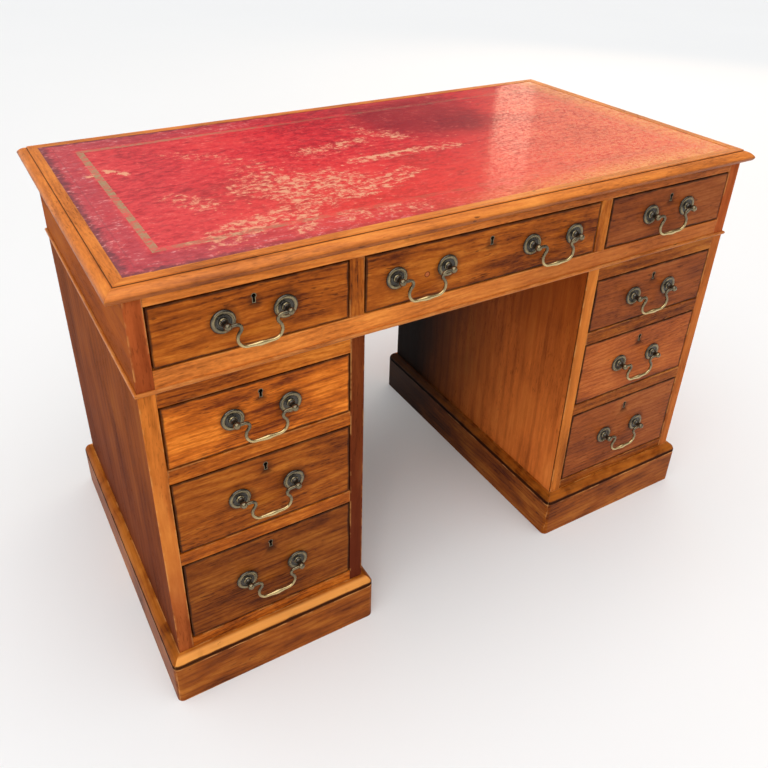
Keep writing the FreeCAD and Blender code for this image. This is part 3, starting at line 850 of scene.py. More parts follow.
    # The tooled band: its sides, its leaves and rules, and where its gilt has stayed
    SIDE_REACH = Reach(0.0, -0.0001)
    LEAF_SWING = 0.35
    LEAF_REACH = Reach(0.5, 0.25, least=0.8)
    RULE_REACH = Reach(0.68, 0.78, least=0.8)
    LEFT_GILT = Reach(0.6, 0.5, least=0.15)
    FRONT_GILT = Reach(0.55, 0.1, least=0.12, most=0.62)
    BACK_GILT = Reach(0.25, 0.35, most=0.15)
    GILT_REACH = Reach(0.96, 0.62)
    GILT_FLECKS = 0.5

    # The relief and the gloss, and the glaze that is left
    PEBBLE_RELIEF = 0.5
    STROKE_RELIEF = 0.6
    BAND_RELIEF = 0.8
    SCUFF_GLOSS = 0.2
    MOTTLE_GLOSS = 0.25
    DIRT_GLOSS = 0.15
    GLAZE_REACH = Reach(0.55, 0.95)
    GLAZE_MOTTLE = 0.5
    GLAZE_LOSS = 0.6
    GLAZE_SHARE = 0.75
    LEAST_GLAZE = 0.08
    GLAZED_REACH = Reach(0.42, 0.80, least=0.15)

    def surface(self, shade: Shade) -> Value:
        """Draw the leather up from the distances to its edges.

        Args:
            shade: The material's tree.

        Returns:
            The shader.
        """
        hide = self.hide(shade)
        colour, dirt, line = self.soiled(shade, hide, self.dyed(shade, hide))
        colour, scuffed = self.scuffed(shade, hide, self.sunned(shade, hide, colour))
        band = self.strip(hide.edge, self.band_inset + self.band_width / 2, self.band_width)
        gilding = self.tooled(hide) * self.GILT_REACH.at(hide.mottle + hide.flecks * self.GILT_FLECKS)
        colour = shade.mixed(band * gilding, colour, self.gilt)
        bumps = self.PEBBLE.at(hide.place) * self.PEBBLE_RELIEF + hide.strokes * self.STROKE_RELIEF
        bumps = bumps - band * self.BAND_RELIEF - line
        gloss = self.roughness + scuffed * self.SCUFF_GLOSS + hide.mottle.spread(self.MOTTLE_GLOSS)
        # What is left of the glaze breaks the reflections up, and most of it is left on the right
        glaze = self.GLAZE_REACH.at(hide.mottle * self.GLAZE_MOTTLE + hide.flecks)
        glaze = glaze * (1 - scuffed * self.GLAZE_LOSS) * self.GLAZE_SHARE + self.LEAST_GLAZE
        return shade.node(
            "ShaderNodeBsdfPrincipled",
            inputs={
                "Base Color": colour,
                "Roughness": gloss + dirt * self.DIRT_GLOSS,
                "Normal": shade.bump(bumps, self.relief_depth, self.relief_strength),
                "Specular IOR Level": self.shine,
                "Coat Weight": glaze * self.GLAZED_REACH.at(hide.x),
                "Coat Roughness": self.glaze_roughness,
            },
        )

    def hide(self, shade: Shade) -> Hide:
        """Work out what the layers share.

        Args:
            shade: The material's tree.

        Returns:
            The place on the leather and its noises.
        """
        place = shade.attribute("place")
        x, y, _ = shade.parts(place)
        to_right, to_back, _ = shade.parts(shade.attribute("extent") - place)
        near_x, near_y = x.least(to_right), y.least(to_back)
        edge = near_x.least(near_y)
        falling = shade.vector(x + y * self.SLANT, y - x * self.FALLING_SLANT)
        rising = shade.vector(x - y * self.SLANT, y + x * self.SLANT, self.RISING_LAYER)
        return Hide(
            *(place, x, y, to_right, near_x, near_y, edge),
            leftward=self.LEFT_REACH.at(x),
            outside=self.OUTSIDE_REACH.at(edge - self.band_inset),
            clouds=self.CLOUDS.at(place),
            mottle=self.MOTTLE.at(place),
            flecks=self.FLECKS.at(place),
            strokes=self.SCRATCHES.at(falling),
            counter=self.SCRATCHES.at(rising),
            nicks=self.NICKS.at(falling + self.NICK_SHIFT),
        )

    def dyed(self, shade: Shade, hide: Hide) -> Value:
        """Dye the leather unevenly, with dark nicks, and paint a shadow on it.

        Args:
            shade: The material's tree.
            hide: What the layers share.

        Returns:
            The colour.
        """
        tone = hide.clouds * self.CLOUD_SHARE + hide.mottle * self.MOTTLE_SHARE
        tone = tone + hide.flecks.spread(self.FLECK_SHARE)
        colour = shade.ramp(tone, list(zip(self.COLOUR_STOPS, (self.deep, self.crimson, self.bright))))
        off_x = (hide.x - self.shadow_middle[0]) / self.shadow_half[0]
        off_y = (hide.y - self.shadow_middle[1]) / self.shadow_half[1]
        shadow = self.SHADOW_REACH.at(off_x * off_x + off_y * off_y, hide.clouds)
        return shade.mixed(self.NICK_REACH.at(hide.nicks).most(shadow), colour, self.maroon)

    def soiled(self, shade: Shade, hide: Hide, colour: Value) -> tuple[Value, Value, Value]:
        """Turn the left mauve outside the band, and nearly black where it meets the rim.

        Args:
            shade: The material's tree.
            hide: What the layers share.
            colour: The colour so far.

        Returns:
            The colour with this layer, how dirty the edge is, and the blind line that runs inside it.
        """
        colour = shade.mixed(hide.outside * hide.leftward * hide.mottle, colour, self.mauve)
        dirt = self.DIRT_REACH.at(hide.edge, hide.mottle) * self.LEFT_DIRT.at(hide.x)
        colour = shade.mixed(dirt, colour, self.border)
        line = self.strip(hide.edge, self.line_inset, self.line_width)
        colour = shade.mixed(line * hide.leftward * hide.mottle * self.LINE_SHARE, colour, self.border)
        return colour, dirt, line

    def sunned(self, shade: Shade, hide: Hide, colour: Value) -> Value:
        """Warm the front, rub the front right to amber, and the edges there to gold.

        Args:
            shade: The material's tree.
            hide: What the layers share.
            colour: The colour so far.

        Returns:
            The colour with this layer.
        """
        warm = self.WARM_REACH.at(hide.y, hide.clouds) * self.WARM_START.at(hide.x)
        colour = shade.mixed(warm, colour, self.scarlet)
        pores = hide.mottle + hide.flecks
        rubbed = self.AMBER_REACH.at(hide.x - hide.y * self.AMBER_SLANT, hide.clouds)
        colour = shade.mixed(rubbed * self.AMBER_GRAIN.at(pores), colour, self.amber)
        front = self.FRONT_EDGE.at(hide.y, hide.mottle) * self.FRONT_EDGE_START.at(hide.x)
        right = self.RIGHT_EDGE.at(hide.to_right, hide.mottle)
        return shade.mixed(front.most(right) * self.GOLD_GRAIN.at(pores), colour, self.gold)

    def scuffed(self, shade: Shade, hide: Hide, colour: Value) -> tuple[Value, Value]:
        """Scuff the leather: dust and fine scratches all over, and clumps along the strokes that wore it.

        Args:
            shade: The material's tree.
            hide: What the layers share.
            colour: The colour so far.

        Returns:
            The colour with this layer, and how far the leather is scuffed through.
        """
        x, y = hide.x, hide.y
        chips = hide.flecks * self.BROKEN_FLECKS + hide.counter * self.BROKEN_SCRATCHES
        broken = self.BROKEN_REACH.at(chips, hide.mottle)
        broken = broken * self.BROKEN_CLOUDS.at(hide.clouds + hide.mottle) * hide.leftward
        broken = broken * self.BROKEN_OUTSIDE.at(hide.edge - self.band_inset)
        dust = self.DUST_REACH.at(x) * hide.mottle
        colour = shade.mixed(broken.most(dust), colour, self.pale)
        scratches = hide.strokes.most(hide.counter) + hide.flecks.spread(self.SCRATCH_FLECKS)
        colour = shade.mixed(self.SCRATCH_REACH.at(scratches), colour, self.pink)
        wander = shade.vector(hide.clouds - NOISE_MIDDLE, hide.mottle - NOISE_MIDDLE) * self.CLUMP_WANDER
        clumps = self.CLUMPS.at(hide.place + wander)
        grit = clumps + scratches.spread(self.GRIT_SCRATCHES)
        worn = grit + self.stroked(x, y, self.scuffs) * self.SCUFF_WEAR
        worn = worn + self.stroked(x, y, self.worn_ground) * self.GROUND_WEAR
        colour = shade.mixed(self.PINK_REACH.at(worn), colour, self.pink)
        ragged_x, ragged_y = self.GASH_RAGGED
        torn_x, torn_y = x + hide.strokes.spread(ragged_x), y + clumps.spread(ragged_y)
        gashed = self.GASH_REACH.at(grit + self.stroked(torn_x, torn_y, self.gashes))
        through = self.TAN_REACH.at(worn).most(gashed)
        return shade.mixed(through * self.TAN_SHARE, colour, self.tan), through

    def strip(self, edge: Value, middle: float, width: float) -> Value:
        """A strip along the edges, given its middle's inset and its width: 1 on it and 0 beside it."""
        return self.STRIP_REACH.at(abs(edge - middle) - width / 2)

    @staticmethod
    def stroked(x: Value, y: Value, strokes: Sequence[Stroke]) -> Value:
        """How near a point lies to the nearest of some strokes: 1 on its line, 0 outside it.

        Args:
            x: How far right of the leather's left edge the point is.
            y: How far behind its front edge it is.
            strokes: The strokes, each from one point to another, with half its width.

        Returns:
            The nearness.
        """
        nearest: Value | None = None
        for start_x, start_y, end_x, end_y, half_width in strokes:
            run_x, run_y = end_x - start_x, end_y - start_y
            length = math.hypot(run_x, run_y)
            off_x, off_y = x - start_x, y - start_y
            along = (off_x * (run_x / length**2) + off_y * (run_y / length**2)).most(0.0).least(1.0)
            away_x, away_y = off_x - along * run_x, off_y - along * run_y
            near = (away_x * away_x + away_y * away_y).step(half_width**2, 0.0)
            nearest = near if nearest is None else nearest.most(near)
        return nearest

    def tooled(self, hide: Hide) -> Value:
        """Tool the band with running leaves between two rules.

        Args:
            hide: What the layers share.

        Returns:
            How much gilt is left of them: most of it on the left.
        """
        on_side = self.SIDE_REACH.at(hide.near_x - hide.near_y)
        along = hide.y * on_side + hide.x * (1 - on_side)
        across = (hide.edge - self.band_inset - self.band_width / 2) / (self.band_width / 2)
        turn = (along * (2 * math.pi / self.motif_length)).wave()
        leaf = self.LEAF_REACH.at(abs(across - turn * self.LEAF_SWING))
        tooling = leaf.most(self.RULE_REACH.at(abs(across)))
        front_or_back = self.FRONT_GILT.at(hide.x) + self.BACK_GILT.at(hide.y)
        return tooling * (on_side * self.LEFT_GILT.at(hide.x) + (1 - on_side) * front_or_back)


@dataclass(frozen=True)
class Brass(Finish):
    """Old cast brass: dark in the hollows and bright where hands rub it."""

    patina: Triple = (0.078, 0.071, 0.061)
    metal: Triple = (0.62, 0.47, 0.22)
    metallic: float = 0.92
    roughness: float = 0.28

    BLOTCHES = Pattern((110.0, 110.0, 110.0), layers=3.0)
    SPOTS = Pattern((600.0, 600.0, 600.0))
    BARE_REACH = Reach(0.1, 1.0, ragged=0.45)
    SPOT_REACH = Reach(0.62, 0.8, most=0.3)
    BARE_GLOSS = 0.04
    SPOT_GLOSS = 0.1
    SPOT_RELIEF = 0.2
    RELIEF_DEPTH = 0.0002
    RELIEF_STRENGTH = 0.2

    def surface(self, shade: Shade) -> Value:
        """Draw the brass up from how worn each point of it is.

        Args:
            shade: The material's tree.

        Returns:
            The shader.
        """
        where = shade.node("ShaderNodeTexCoord", output="Object")
        blotches = self.BLOTCHES.at(where)
        spots = self.SPOTS.at(where)
        bare = self.BARE_REACH.at(shade.attribute("worn", output="Fac"), blotches)
        colour = shade.mixed(bare, self.patina, self.metal)
        colour = shade.mixed(self.SPOT_REACH.at(spots), colour, self.patina)
        gloss = self.roughness - bare * self.BARE_GLOSS + spots.spread(self.SPOT_GLOSS)
        bumps = blotches + spots * self.SPOT_RELIEF
        return shade.node(
            "ShaderNodeBsdfPrincipled",
            inputs={
                "Base Color": colour,
                "Metallic": self.metallic,
                "Roughness": gloss,
                "Normal": shade.bump(bumps, self.RELIEF_DEPTH, self.RELIEF_STRENGTH),
            },
        )


@dataclass(frozen=True)
class Steel(Finish):
    """Dull filed steel with a few rust spots."""

    clean: Triple = (0.34, 0.33, 0.31)
    filed: Triple = (0.2, 0.19, 0.18)
    rust: Triple = (0.13, 0.06, 0.03)
    metallic: float = 0.9
    roughness: float = 0.38

    FILE_MARKS = Pattern((90.0, 900.0, 900.0), layers=3.0)
    RUST_SPOTS = Pattern((70.0, 70.0, 70.0), layers=5.0, strength=0.65)
    RUST_REACH = Reach(0.54, 0.7)
    RUST_DULLING = 0.7
    RUST_GLOSS = 0.4
    RELIEF_DEPTH = 0.0002
    RELIEF_STRENGTH = 0.3

    def surface(self, shade: Shade) -> Value:
        """Draw the steel up with file marks and rust.

        Args:
            shade: The material's tree.

        Returns:
            The shader.
        """
        where = shade.node("ShaderNodeTexCoord", output="Object")
        marks = self.FILE_MARKS.at(where)
        rusting = self.RUST_REACH.at(self.RUST_SPOTS.at(where))
        colour = shade.mixed(rusting, shade.mixed(marks, self.clean, self.filed), self.rust)
        return shade.node(
            "ShaderNodeBsdfPrincipled",
            inputs={
                "Base Color": colour,
                "Metallic": self.metallic - rusting * self.RUST_DULLING,
                "Roughness": self.roughness + rusting * self.RUST_GLOSS,
                "Normal": shade.bump(marks - rusting, self.RELIEF_DEPTH, self.RELIEF_STRENGTH),
            },
        )


@dataclass(frozen=True)
class PaleFloor(Finish):
    """A plain matt studio floor."""

    pale: Triple = (0.86, 0.87, 0.88)
    paler: Triple = (0.88, 0.89, 0.90)
    roughness: float = 0.9

    CLOUDS = Pattern((0.8, 0.8, 0.8))

    def surface(self, shade: Shade) -> Value:
        """Draw the floor up, a little uneven in tone.

        Args:
            shade: The material's tree.

        Returns:
            The shader.
        """
        where = shade.node("ShaderNodeTexCoord", output="Object")
        colour = shade.mixed(self.CLOUDS.at(where), self.pale, self.paler)
        inputs = {"Base Color": colour, "Roughness": self.roughness}
        return shade.node("ShaderNodeBsdfPrincipled", inputs=inputs)


SHOW_WOOD = {
    "dark": (0.10, 0.017, 0.002),
    "middle": (0.36, 0.083, 0.006),
    "light": (0.62, 0.195, 0.022),
    "worn": (0.72, 0.33, 0.10),
    "dirt_and_shade": (0.022, 0.007, 0.003),
    "fleck": (0.055, 0.012, 0.003),
}
POLISHED = Wood("polished wood", "polished_wood", **SHOW_WOOD, roughness=0.45, polish=0.04, shine=0.06)
BRIGHT_WOOD = SHOW_WOOD | {
    "dark": (0.20, 0.045, 0.007),
    "middle": (0.55, 0.16, 0.025),
    "light": (0.78, 0.30, 0.055),
}
MOULDED = Wood(
    "moulded wood",
    "polished_wood",
    **BRIGHT_WOOD,
    roughness=0.38,
    polish=0.12,
    figure=0.6,
    flecked=0.4,
    edge_wear=0.7,
    nicked=0.7,
)
RIM = replace(MOULDED, name="rim wood", shade_under_nose=(0.54, 0.49, 0.54))
RAIL = replace(
    MOULDED,
    name="rail wood",
    polish=0.04,
    shine=0.06,
    figure=0.7,
    edge_wear=0.5,
    nicked=0.3,
    shaded_right_end=(0.62, 0.55, 0.58),
)
PLINTH = Wood(
    "plinth wood",
    "polished_wood",
    **SHOW_WOOD,
    roughness=0.45,
    polish=0.04,
    shine=0.06,
    figure=0.8,
    fibrous=0.35,
    blotched=0.9,
    flecked=0.5,
    edge_wear=0.8,
    nicked=0.8,
    groove_height=0.0848,
    kneehole_shading=0.9,
)
# Only the left plinth's front moulding gets the painted highlight
LEFT_PLINTH = replace(PLINTH, name="left plinth wood", front_moulding_rub=0.9)
# The case sides' stains are partly painted shade, with painted shade changing them towards the bottom
LEFT_SIDE = Wood(
    "left case wood",
    "polished_wood",
    **BRIGHT_WOOD,
    roughness=0.6,
    polish=0.0,
    shine=0.012,
    figure=0.7,
    fibrous=0.15,
    blotched=0.3,
    flecked=0.35,
    edge_wear=0.8,
    ring_width=0.027,
    stain=(0.46, 0.36, 0.28),
    stain_and_shade_below=(0.31, 0.22, 0.34),
    facing_shade_below=(0.62, 0.52, 0.80),
    kneehole_shading=0.99,
)
RIGHT_SIDE = replace(
    LEFT_SIDE,
    name="right case wood",
    stain=(0.58, 0.40, 0.28),
    stain_and_shade_below=(1.25, 1.08, 1.20),
    facing_shade_below=(1.0, 1.0, 1.0),
    shine=0.05,
)
FRIEZE_END = replace(
    LEFT_SIDE,
    name="frieze end wood",
    stain=(0.66, 0.50, 0.30),
    stain_and_shade_below=None,
    facing_shade_below=(1.0, 1.0, 1.0),
    kneehole_shading=0.0,
)
DRAWER_FACE = Wood(
    "drawer front wood",
    "polished_wood",
    **SHOW_WOOD,
    roughness=0.45,
    polish=0.04,
    shine=0.06,
    fibrous=0.4,
    blotched=0.65,
    flecked=0.8,
    edge_wear=0.15,
    edge_grime_and_shade=0.85,
    nicked=0.6,
    handled=True,
)
PLUGGED_FACE = replace(DRAWER_FACE, name="plugged front wood", plugs=((-0.118, -0.007), (0.093, 0.004)))
# Darker, redder fronts for the right-hand drawers, partly painted shade
RED_FACE = replace(
    DRAWER_FACE,
    name="reddish front wood",
    dark=(0.13, 0.026, 0.008),
    middle=(0.35, 0.080, 0.013),
    light=(0.56, 0.175, 0.040),
    figure=0.8,
    blotched=0.5,
    flecked=0.55,
)
BARE = Wood(
    "bare wood",
    "carcass_wood",
    dark=(0.20, 0.10, 0.04),
    middle=(0.40, 0.24, 0.11),
    light=(0.56, 0.38, 0.20),
    worn=(0.52, 0.36, 0.20),
    dirt_and_shade=(0.10, 0.05, 0.025),
    fleck=(0.12, 0.06, 0.03),
    roughness=0.72,
    polish=0.0,
    figure=0.8,
    flecked=0.4,
    edge_wear=0.35,
)
LEATHER = Leather("crimson leather", "leather")
BRASS = Brass("old brass", "brass")
STEEL = Steel("lock steel", "lock_steel")
FLOOR = PaleFloor("studio floor", "")


class Grain(Enum):
    """The way that the grain of a board runs."""

    LENGTHWAYS = "along its longest side"
    UPRIGHT = "up and down, where the board is tall"


class Ease(Enum):
    """Which edges of a solid are eased."""

    OUTLINE = "the edges of its box"
    EVERY = "every sharp edge"


@dataclass
class Solid:
    """A closed shape: its corners, its faces by their corners' numbers, and which corners are hollow."""

    corners: list[Vector]
    faces: list[tuple[int, ...]]
    hollow: list[float] = field(default_factory=list)

    FLAT_ANGLE = math.radians(0.6)
    SHARP_ANGLE = math.radians(28.0)
    HOLLOW_ANGLE = math.radians(-10.0)
    EASE_STEPS = 2
    EASE_PROFILE = 0.6
    ON_BOX = 1e-5

    def box(self) -> tuple[Vector, Vector]:
        """Measure the box round the solid.

        Returns:
            Its lowest and its highest corner.
        """
        low = Vector(min(corner[axis] for corner in self.corners) for axis in range(3))
        high = Vector(max(corner[axis] for corner in self.corners) for axis in range(3))
        return low, high

    def eased(self, radius: float, ease: Ease, cuts: Sequence[Plane] = ()) -> "Solid":
        """The solid with its flat faces made whole and its edges rounded.

        Args:
            radius: How far the rounding reaches from an edge.
            ease: Which edges are rounded.
            cuts: Planes that divide the faces afterwards, each by a point and its normal.

        Returns:
            The rounded solid.
        """
        mesh = bmesh.new()
        points = [mesh.verts.new(corner) for corner in self.corners]
        for face in self.faces:
            mesh.faces.new([points[index] for index in face])
        bmesh.ops.dissolve_limit(mesh, angle_limit=self.FLAT_ANGLE, verts=mesh.verts, edges=mesh.edges)
        low, high = self.box()
        sharp = []
        for edge in mesh.edges:
            if len(edge.link_faces) != 2 or edge.calc_face_angle() < self.SHARP_ANGLE:
                continue
            if ease is Ease.EVERY or self.shared_planes(edge, low, high) > 1:
                sharp.append(edge)
        bmesh.ops.bevel(
            mesh,
            geom=sharp,
            offset=radius,
            offset_type="OFFSET",
            segments=self.EASE_STEPS,
            profile=self.EASE_PROFILE,
            affect="EDGES",
        )
        for point, normal in cuts:
            everything = [*mesh.verts, *mesh.edges, *mesh.faces]
            bmesh.ops.bisect_plane(mesh, geom=everything, plane_co=point, plane_no=normal)
        bmesh.ops.recalc_face_normals(mesh, faces=mesh.faces)
        mesh.verts.index_update()
        corners = [point.co.copy() for point in mesh.verts]
        faces = [tuple(point.index for point in face.verts) for face in mesh.faces]
        hollow = [0.0] * len(corners)
        for edge in mesh.edges:
            if len(edge.link_faces) == 2 and edge.calc_face_angle_signed() < self.HOLLOW_ANGLE:
                for point in edge.verts:
                    hollow[point.index] = 1.0
        mesh.free()
        return Solid(corners, faces, hollow)

    def shrunk(self, by: float) -> "Solid":
        """The solid drawn in at its ends and at its top and bottom, its bores left where they are.

        Args:
            by: How far each of these sides moves.

        Returns:
            The smaller solid.
        """
        low, high = self.box()
        corners = [corner.copy() for corner in self.corners]
        for corner in corners:
            for axis in (0, 2):
                if abs(corner[axis] - low[axis]) < self.ON_BOX:
                    corner[axis] += by
                elif abs(corner[axis] - high[axis]) < self.ON_BOX:
                    corner[axis] -= by
        return Solid(corners, self.faces)

    def shared_planes(self, edge: bmesh.types.BMEdge, low: Vector, high: Vector) -> int:
        """Count the sides of a box that an edge lies in.

        Args:
            edge: The edge.
            low: The box's lowest corner.
            high: Its highest corner.

        Returns:
            The count.
        """
        ends = [point.co for point in edge.verts]
        return sum(
            all(abs(end[axis] - side[axis]) < self.ON_BOX for end in ends)
            for axis in range(3)
            for side in (low, high)
        )


def solids_in(node: str) -> Iterator[Solid]:
    """The separate solids of a CAD node, in their order.

    The triangles of one solid follow each other, so a solid ends where each edge so far has met its
    other face.

    Args:
        node: The node's name.

    Returns:
        The solids, one after the other.
    """
    weld = 1e-6
    mesh = frame["nodes"][node].data
    known: dict[tuple[int, ...], int] = {}
    corners: list[Vector] = []
    faces: list[tuple[int, ...]] = []
    unmet: set[tuple[int, int]] = set()
    for polygon in mesh.polygons:
        face = []
        for index in polygon.vertices:
            corner = mesh.vertices[index].co
            key = tuple(round(part / weld) for part in corner)
            if key not in known:
                known[key] = len(corners)
                corners.append(corner.copy())
            face.append(known[key])
        faces.append(tuple(face))
        for edge in zip(face, face[1:] + face[:1]):
            if edge[::-1] in unmet:
                unmet.remove(edge[::-1])
            else:
                unmet.add(edge)
        if not unmet:
            yield Solid(corners, faces)
            known, corners, faces = {}, [], []


def box_solid(low: Vector, high: Vector) -> Solid:
    """A plain block.

    Args:
        low: Its lowest corner.
        high: Its highest corner.

    Returns:
        The block.
    """
    corners = [Vector((x, y, z)) for x in (low.x, high.x) for y in (low.y, high.y) for z in (low.z, high.z)]
    faces = [(0, 1, 3, 2), (4, 6, 7, 5), (0, 4, 5, 1), (2, 3, 7, 6), (0, 2, 6, 4), (1, 5, 7, 3)]
    return Solid(corners, faces)


def turned_solid(profile: Sequence[Pair], foot: Vector, steps: int) -> Solid:
    """Turn a profile about the line that runs from a foot towards -Y.

    Args:
        profile: Pairs of a radius and a height above the foot. The first and the last lie on the line.
        foot: Where the line starts.
        steps: How many sides the turned piece has.

    Returns:
        The turned solid.
    """
    corners: list[Vector] = []
    rings: list[list[int]] = []
    for radius, height in profile:
        count = steps if radius > 0 else 1
        rings.append(list(range(len(corners), len(corners) + count)))
        for step in range(count):
            angle = 2 * math.pi * step / steps
            corners.append(foot + Vector((radius * math.cos(angle), -height, radius * math.sin(angle))))
    faces = []
    for inner, outer in zip(rings, rings[1:]):
        for step in range(steps):
            following = (step + 1) % steps
            loop = [inner[step % len(inner)], inner[following % len(inner)]]
            loop += [outer[following % len(outer)], outer[step % len(outer)]]
            faces.append(tuple(dict.fromkeys(loop)))
    return Solid(corners, faces)


def arc_points(start: Pair, end: Pair, radius: float, left: bool, steps: int) -> list[Pair]:
    """Points on the shorter arc between two points of a profile.

    Args:
        start: The first point.
        end: The last point.
        radius: The arc's radius.
        left: Whether the arc's centre lies to the left of the way from start to end.
        steps: How many parts the arc has.

    Returns:
        The points, both ends included.
    """
    first, last = Vector(start), Vector(end)
    chord = last - first
    rise = math.sqrt(max(radius**2 - (chord.length / 2) ** 2, 0.0))
    side = Vector((-chord.y, chord.x)).normalized() * (rise if left else -rise)
    centre = (first + last) / 2 + side
    from_angle = math.atan2(first.y - centre.y, first.x - centre.x)
    turn = math.atan2(last.y - centre.y, last.x - centre.x) - from_angle
    turn = (turn + math.pi) % (2 * math.pi) - math.pi
    angles = [from_angle + turn * step / steps for step in range(steps + 1)]
    return [(centre.x + radius * math.cos(angle), centre.y + radius * math.sin(angle)) for angle in angles]


def drawn_rod(path: Sequence[Vector], radii: Sequence[float], steps: int) -> Solid:
    """A round rod of changing thickness along a path in an upright plane that faces -Y.

    Args:
        path: The points on the rod's middle line.
        radii: The rod's radius at each of them.
        steps: How many sides the rod has.

    Returns:
        The rod, closed at both ends.
    """
    sideways = Vector((0.0, 1.0, 0.0))
    corners: list[Vector] = []
    for index, (point, radius) in enumerate(zip(path, radii)):
        ahead = (path[min(index + 1, len(path) - 1)] - path[max(index - 1, 0)]).normalized()
        outward = ahead.cross(sideways)
        for step in range(steps):
            angle = 2 * math.pi * step / steps
            corners.append(point + radius * (math.cos(angle) * sideways + math.sin(angle) * outward))
    faces: list[tuple[int, ...]] = []
    for ring in range(len(path) - 1):
        for step in range(steps):
            following = (step + 1) % steps
            near, far = ring * steps, (ring + 1) * steps
            faces.append((near + step, near + following, far + following, far + step))
    last = (len(path) - 1) * steps
    faces.append(tuple(reversed(range(steps))))
    faces.append(tuple(range(last, last + steps)))
    return Solid(corners, faces)


@dataclass(frozen=True)
class Board:
    """The lie of one board: its box, its axes from along the grain to through the board, and its seed."""

    low: Vector
    high: Vector
    axes: tuple[int, ...]
    seed: Triple

    # Upright grain is for boards at least so tall, and boards of one tone differ by so much either way
    TALL = 0.05
    TONE_SPREAD = 0.05

    # Thin boards that come so near to the desk's middle are the sides of the kneehole
    THIN = 0.05
    KNEEHOLE_HALF = 0.235

    @classmethod
    def of(cls, solid: Solid, grain: Grain, tone: float, dice: random.Random) -> "Board":
        """Read a board's lie from its solid, and draw its place in the log.

        Args:
            solid: The board's solid.
            grain: The way that its grain runs.
            tone: How light it is, more or less.
            dice: What draws its own tone and its place in the log.

        Returns:
            The board's lie.
        """
        low, high = solid.box()
        extent = high - low
        axes = sorted(range(3), key=lambda axis: -extent[axis])
        if grain is Grain.UPRIGHT and extent.z > cls.TALL:
            axes.remove(2)
            axes.insert(0, 2)
        own_tone = tone + dice.uniform(-cls.TONE_SPREAD, cls.TONE_SPREAD)
        return cls(low, high, tuple(axes), (dice.random(), dice.random(), own_tone))

    def layers(self, corners: Sequence[Vector]) -> dict[str, list[Any]]:
        """Work out what the wood finish reads from the board.

        Args:
            corners: The corners of the board's eased shape.

        Returns:
            For each layer, by its name, a number or three at each corner.
        """
        middle = (self.low + self.high) / 2
        depth = self.high.y - self.low.y
        # Boards beside the kneehole get painted shade that deepens towards the back; their rear faces are
        # left out
        beside = min(abs(self.low.x), abs(self.high.x)) < self.KNEEHOLE_HALF
        in_kneehole = 1.0 if beside and self.high.x - self.low.x < self.THIN else 0.0
        unshaded_end = self.high.y - Solid.ON_BOX
        return {
            "soot": [
                in_kneehole * (corner.y - self.low.y) / depth if corner.y < unshaded_end else 0.0 for corner in corners
            ],
            "grain": [[(corner - middle)[axis] for axis in self.axes] for corner in corners],
            "place": [corner - self.low for corner in corners],
            "extent": [self.high - self.low for _ in corners],
            "seed": [self.seed for _ in corners],
        }


class Piece:
    """A shown piece while it is put together from its solids."""

    SMOOTH_ANGLE = math.radians(50.0)

    def __init__(self, name: str) -> None:
        """Start with nothing in it.

        Args:
            name: The name that it is shown under.
        """
        self.name = name
        self.corners: list[Vector] = []
        self.faces: list[tuple[int, ...]] = []
        self.layers: dict[str, list[Any]] = {}

    def add(self, solid: Solid, layers: Mapping[str, Sequence[Any]]) -> None:
        """Add a solid.

        Args:
            solid: The shape.
            layers: What its finish reads at each corner: a number, or three.
        """
        start = len(self.corners)
        self.corners += solid.corners
        self.faces += [tuple(start + index for index in face) for face in solid.faces]
        for name, values in layers.items():
            self.layers.setdefault(name, []).extend(values)

    def shown(self, finish: Finish, body: str, *stands_for: str) -> bpy.types.Object:
        """Make the piece.

        Args:
            finish: What its surface is.
            body: The body that it moves with.
            stands_for: The CAD nodes that it is shown instead of.

        Returns:
            The new object.
        """
        mesh = bpy.data.meshes.new(self.name)
        mesh.from_pydata(self.corners, [], self.faces)
        for name, values in self.layers.items():
            if isinstance(values[0], float):
                mesh.attributes.new(name, "FLOAT", "POINT").data.foreach_set("value", values)
            else:
                flat = [part for value in values for part in value]
                mesh.attributes.new(name, "FLOAT_VECTOR", "POINT").data.foreach_set("vector", flat)
        mesh.polygons.foreach_set("use_smooth", [True] * len(mesh.polygons))
        mesh.set_sharp_from_angle(angle=self.SMOOTH_ANGLE)
        mesh.materials.append(finish.material())
        thing = bpy.data.objects.new(self.name, mesh)
        bpy.context.scene.collection.objects.link(thing)
        normals = thing.modifiers.new("flat faces stay flat", "WEIGHTED_NORMAL")
        normals.keep_sharp = True
        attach(thing, body)
        if stands_for:
            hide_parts(*stands_for)
        log.info("%s: %d faces in %s, on %s", self.name, len(self.faces), finish.name, body)
        return thing


@dataclass(frozen=True)
class Joinery:
    """Wooden pieces that are dressed from their CAD boards.

    The boards on the right have a tone of their own where it is given.
    """

    node: str
    piece: str
    body: str = CARCASS
    finish: Finish = POLISHED
    grain: Grain = Grain.LENGTHWAYS
    tone: float = 0.5
    right_tone: float | None = None
    ease: Ease = Ease.OUTLINE
    radius: float = 0.001
    shrink: float = 0.0

    def cuts(self) -> list[Plane]:
        """Planes that divide the boards' faces: none on a plain board."""
        return []

    def build(self) -> Piece:
        """Ease each board and give it its own grain.

        Returns:
            The piece that the boards make.
        """
        dice = random.Random(self.node)
        piece = Piece(self.piece)
        for solid in solids_in(self.node):
            on_right = self.right_tone is not None and solid.box()[0].x > 0
            board = Board.of(solid, self.grain, self.right_tone if on_right else self.tone, dice)
            rounded = solid.shrunk(self.shrink).eased(self.radius, self.ease, self.cuts())
            piece.add(rounded, board.layers(rounded.corners) | {"hollow": rounded.hollow})
        return piece

    def dress(self) -> bpy.types.Object:
        """Build the piece and show it in place of its node."""
        return self.build().shown(self.finish, self.body, self.node)


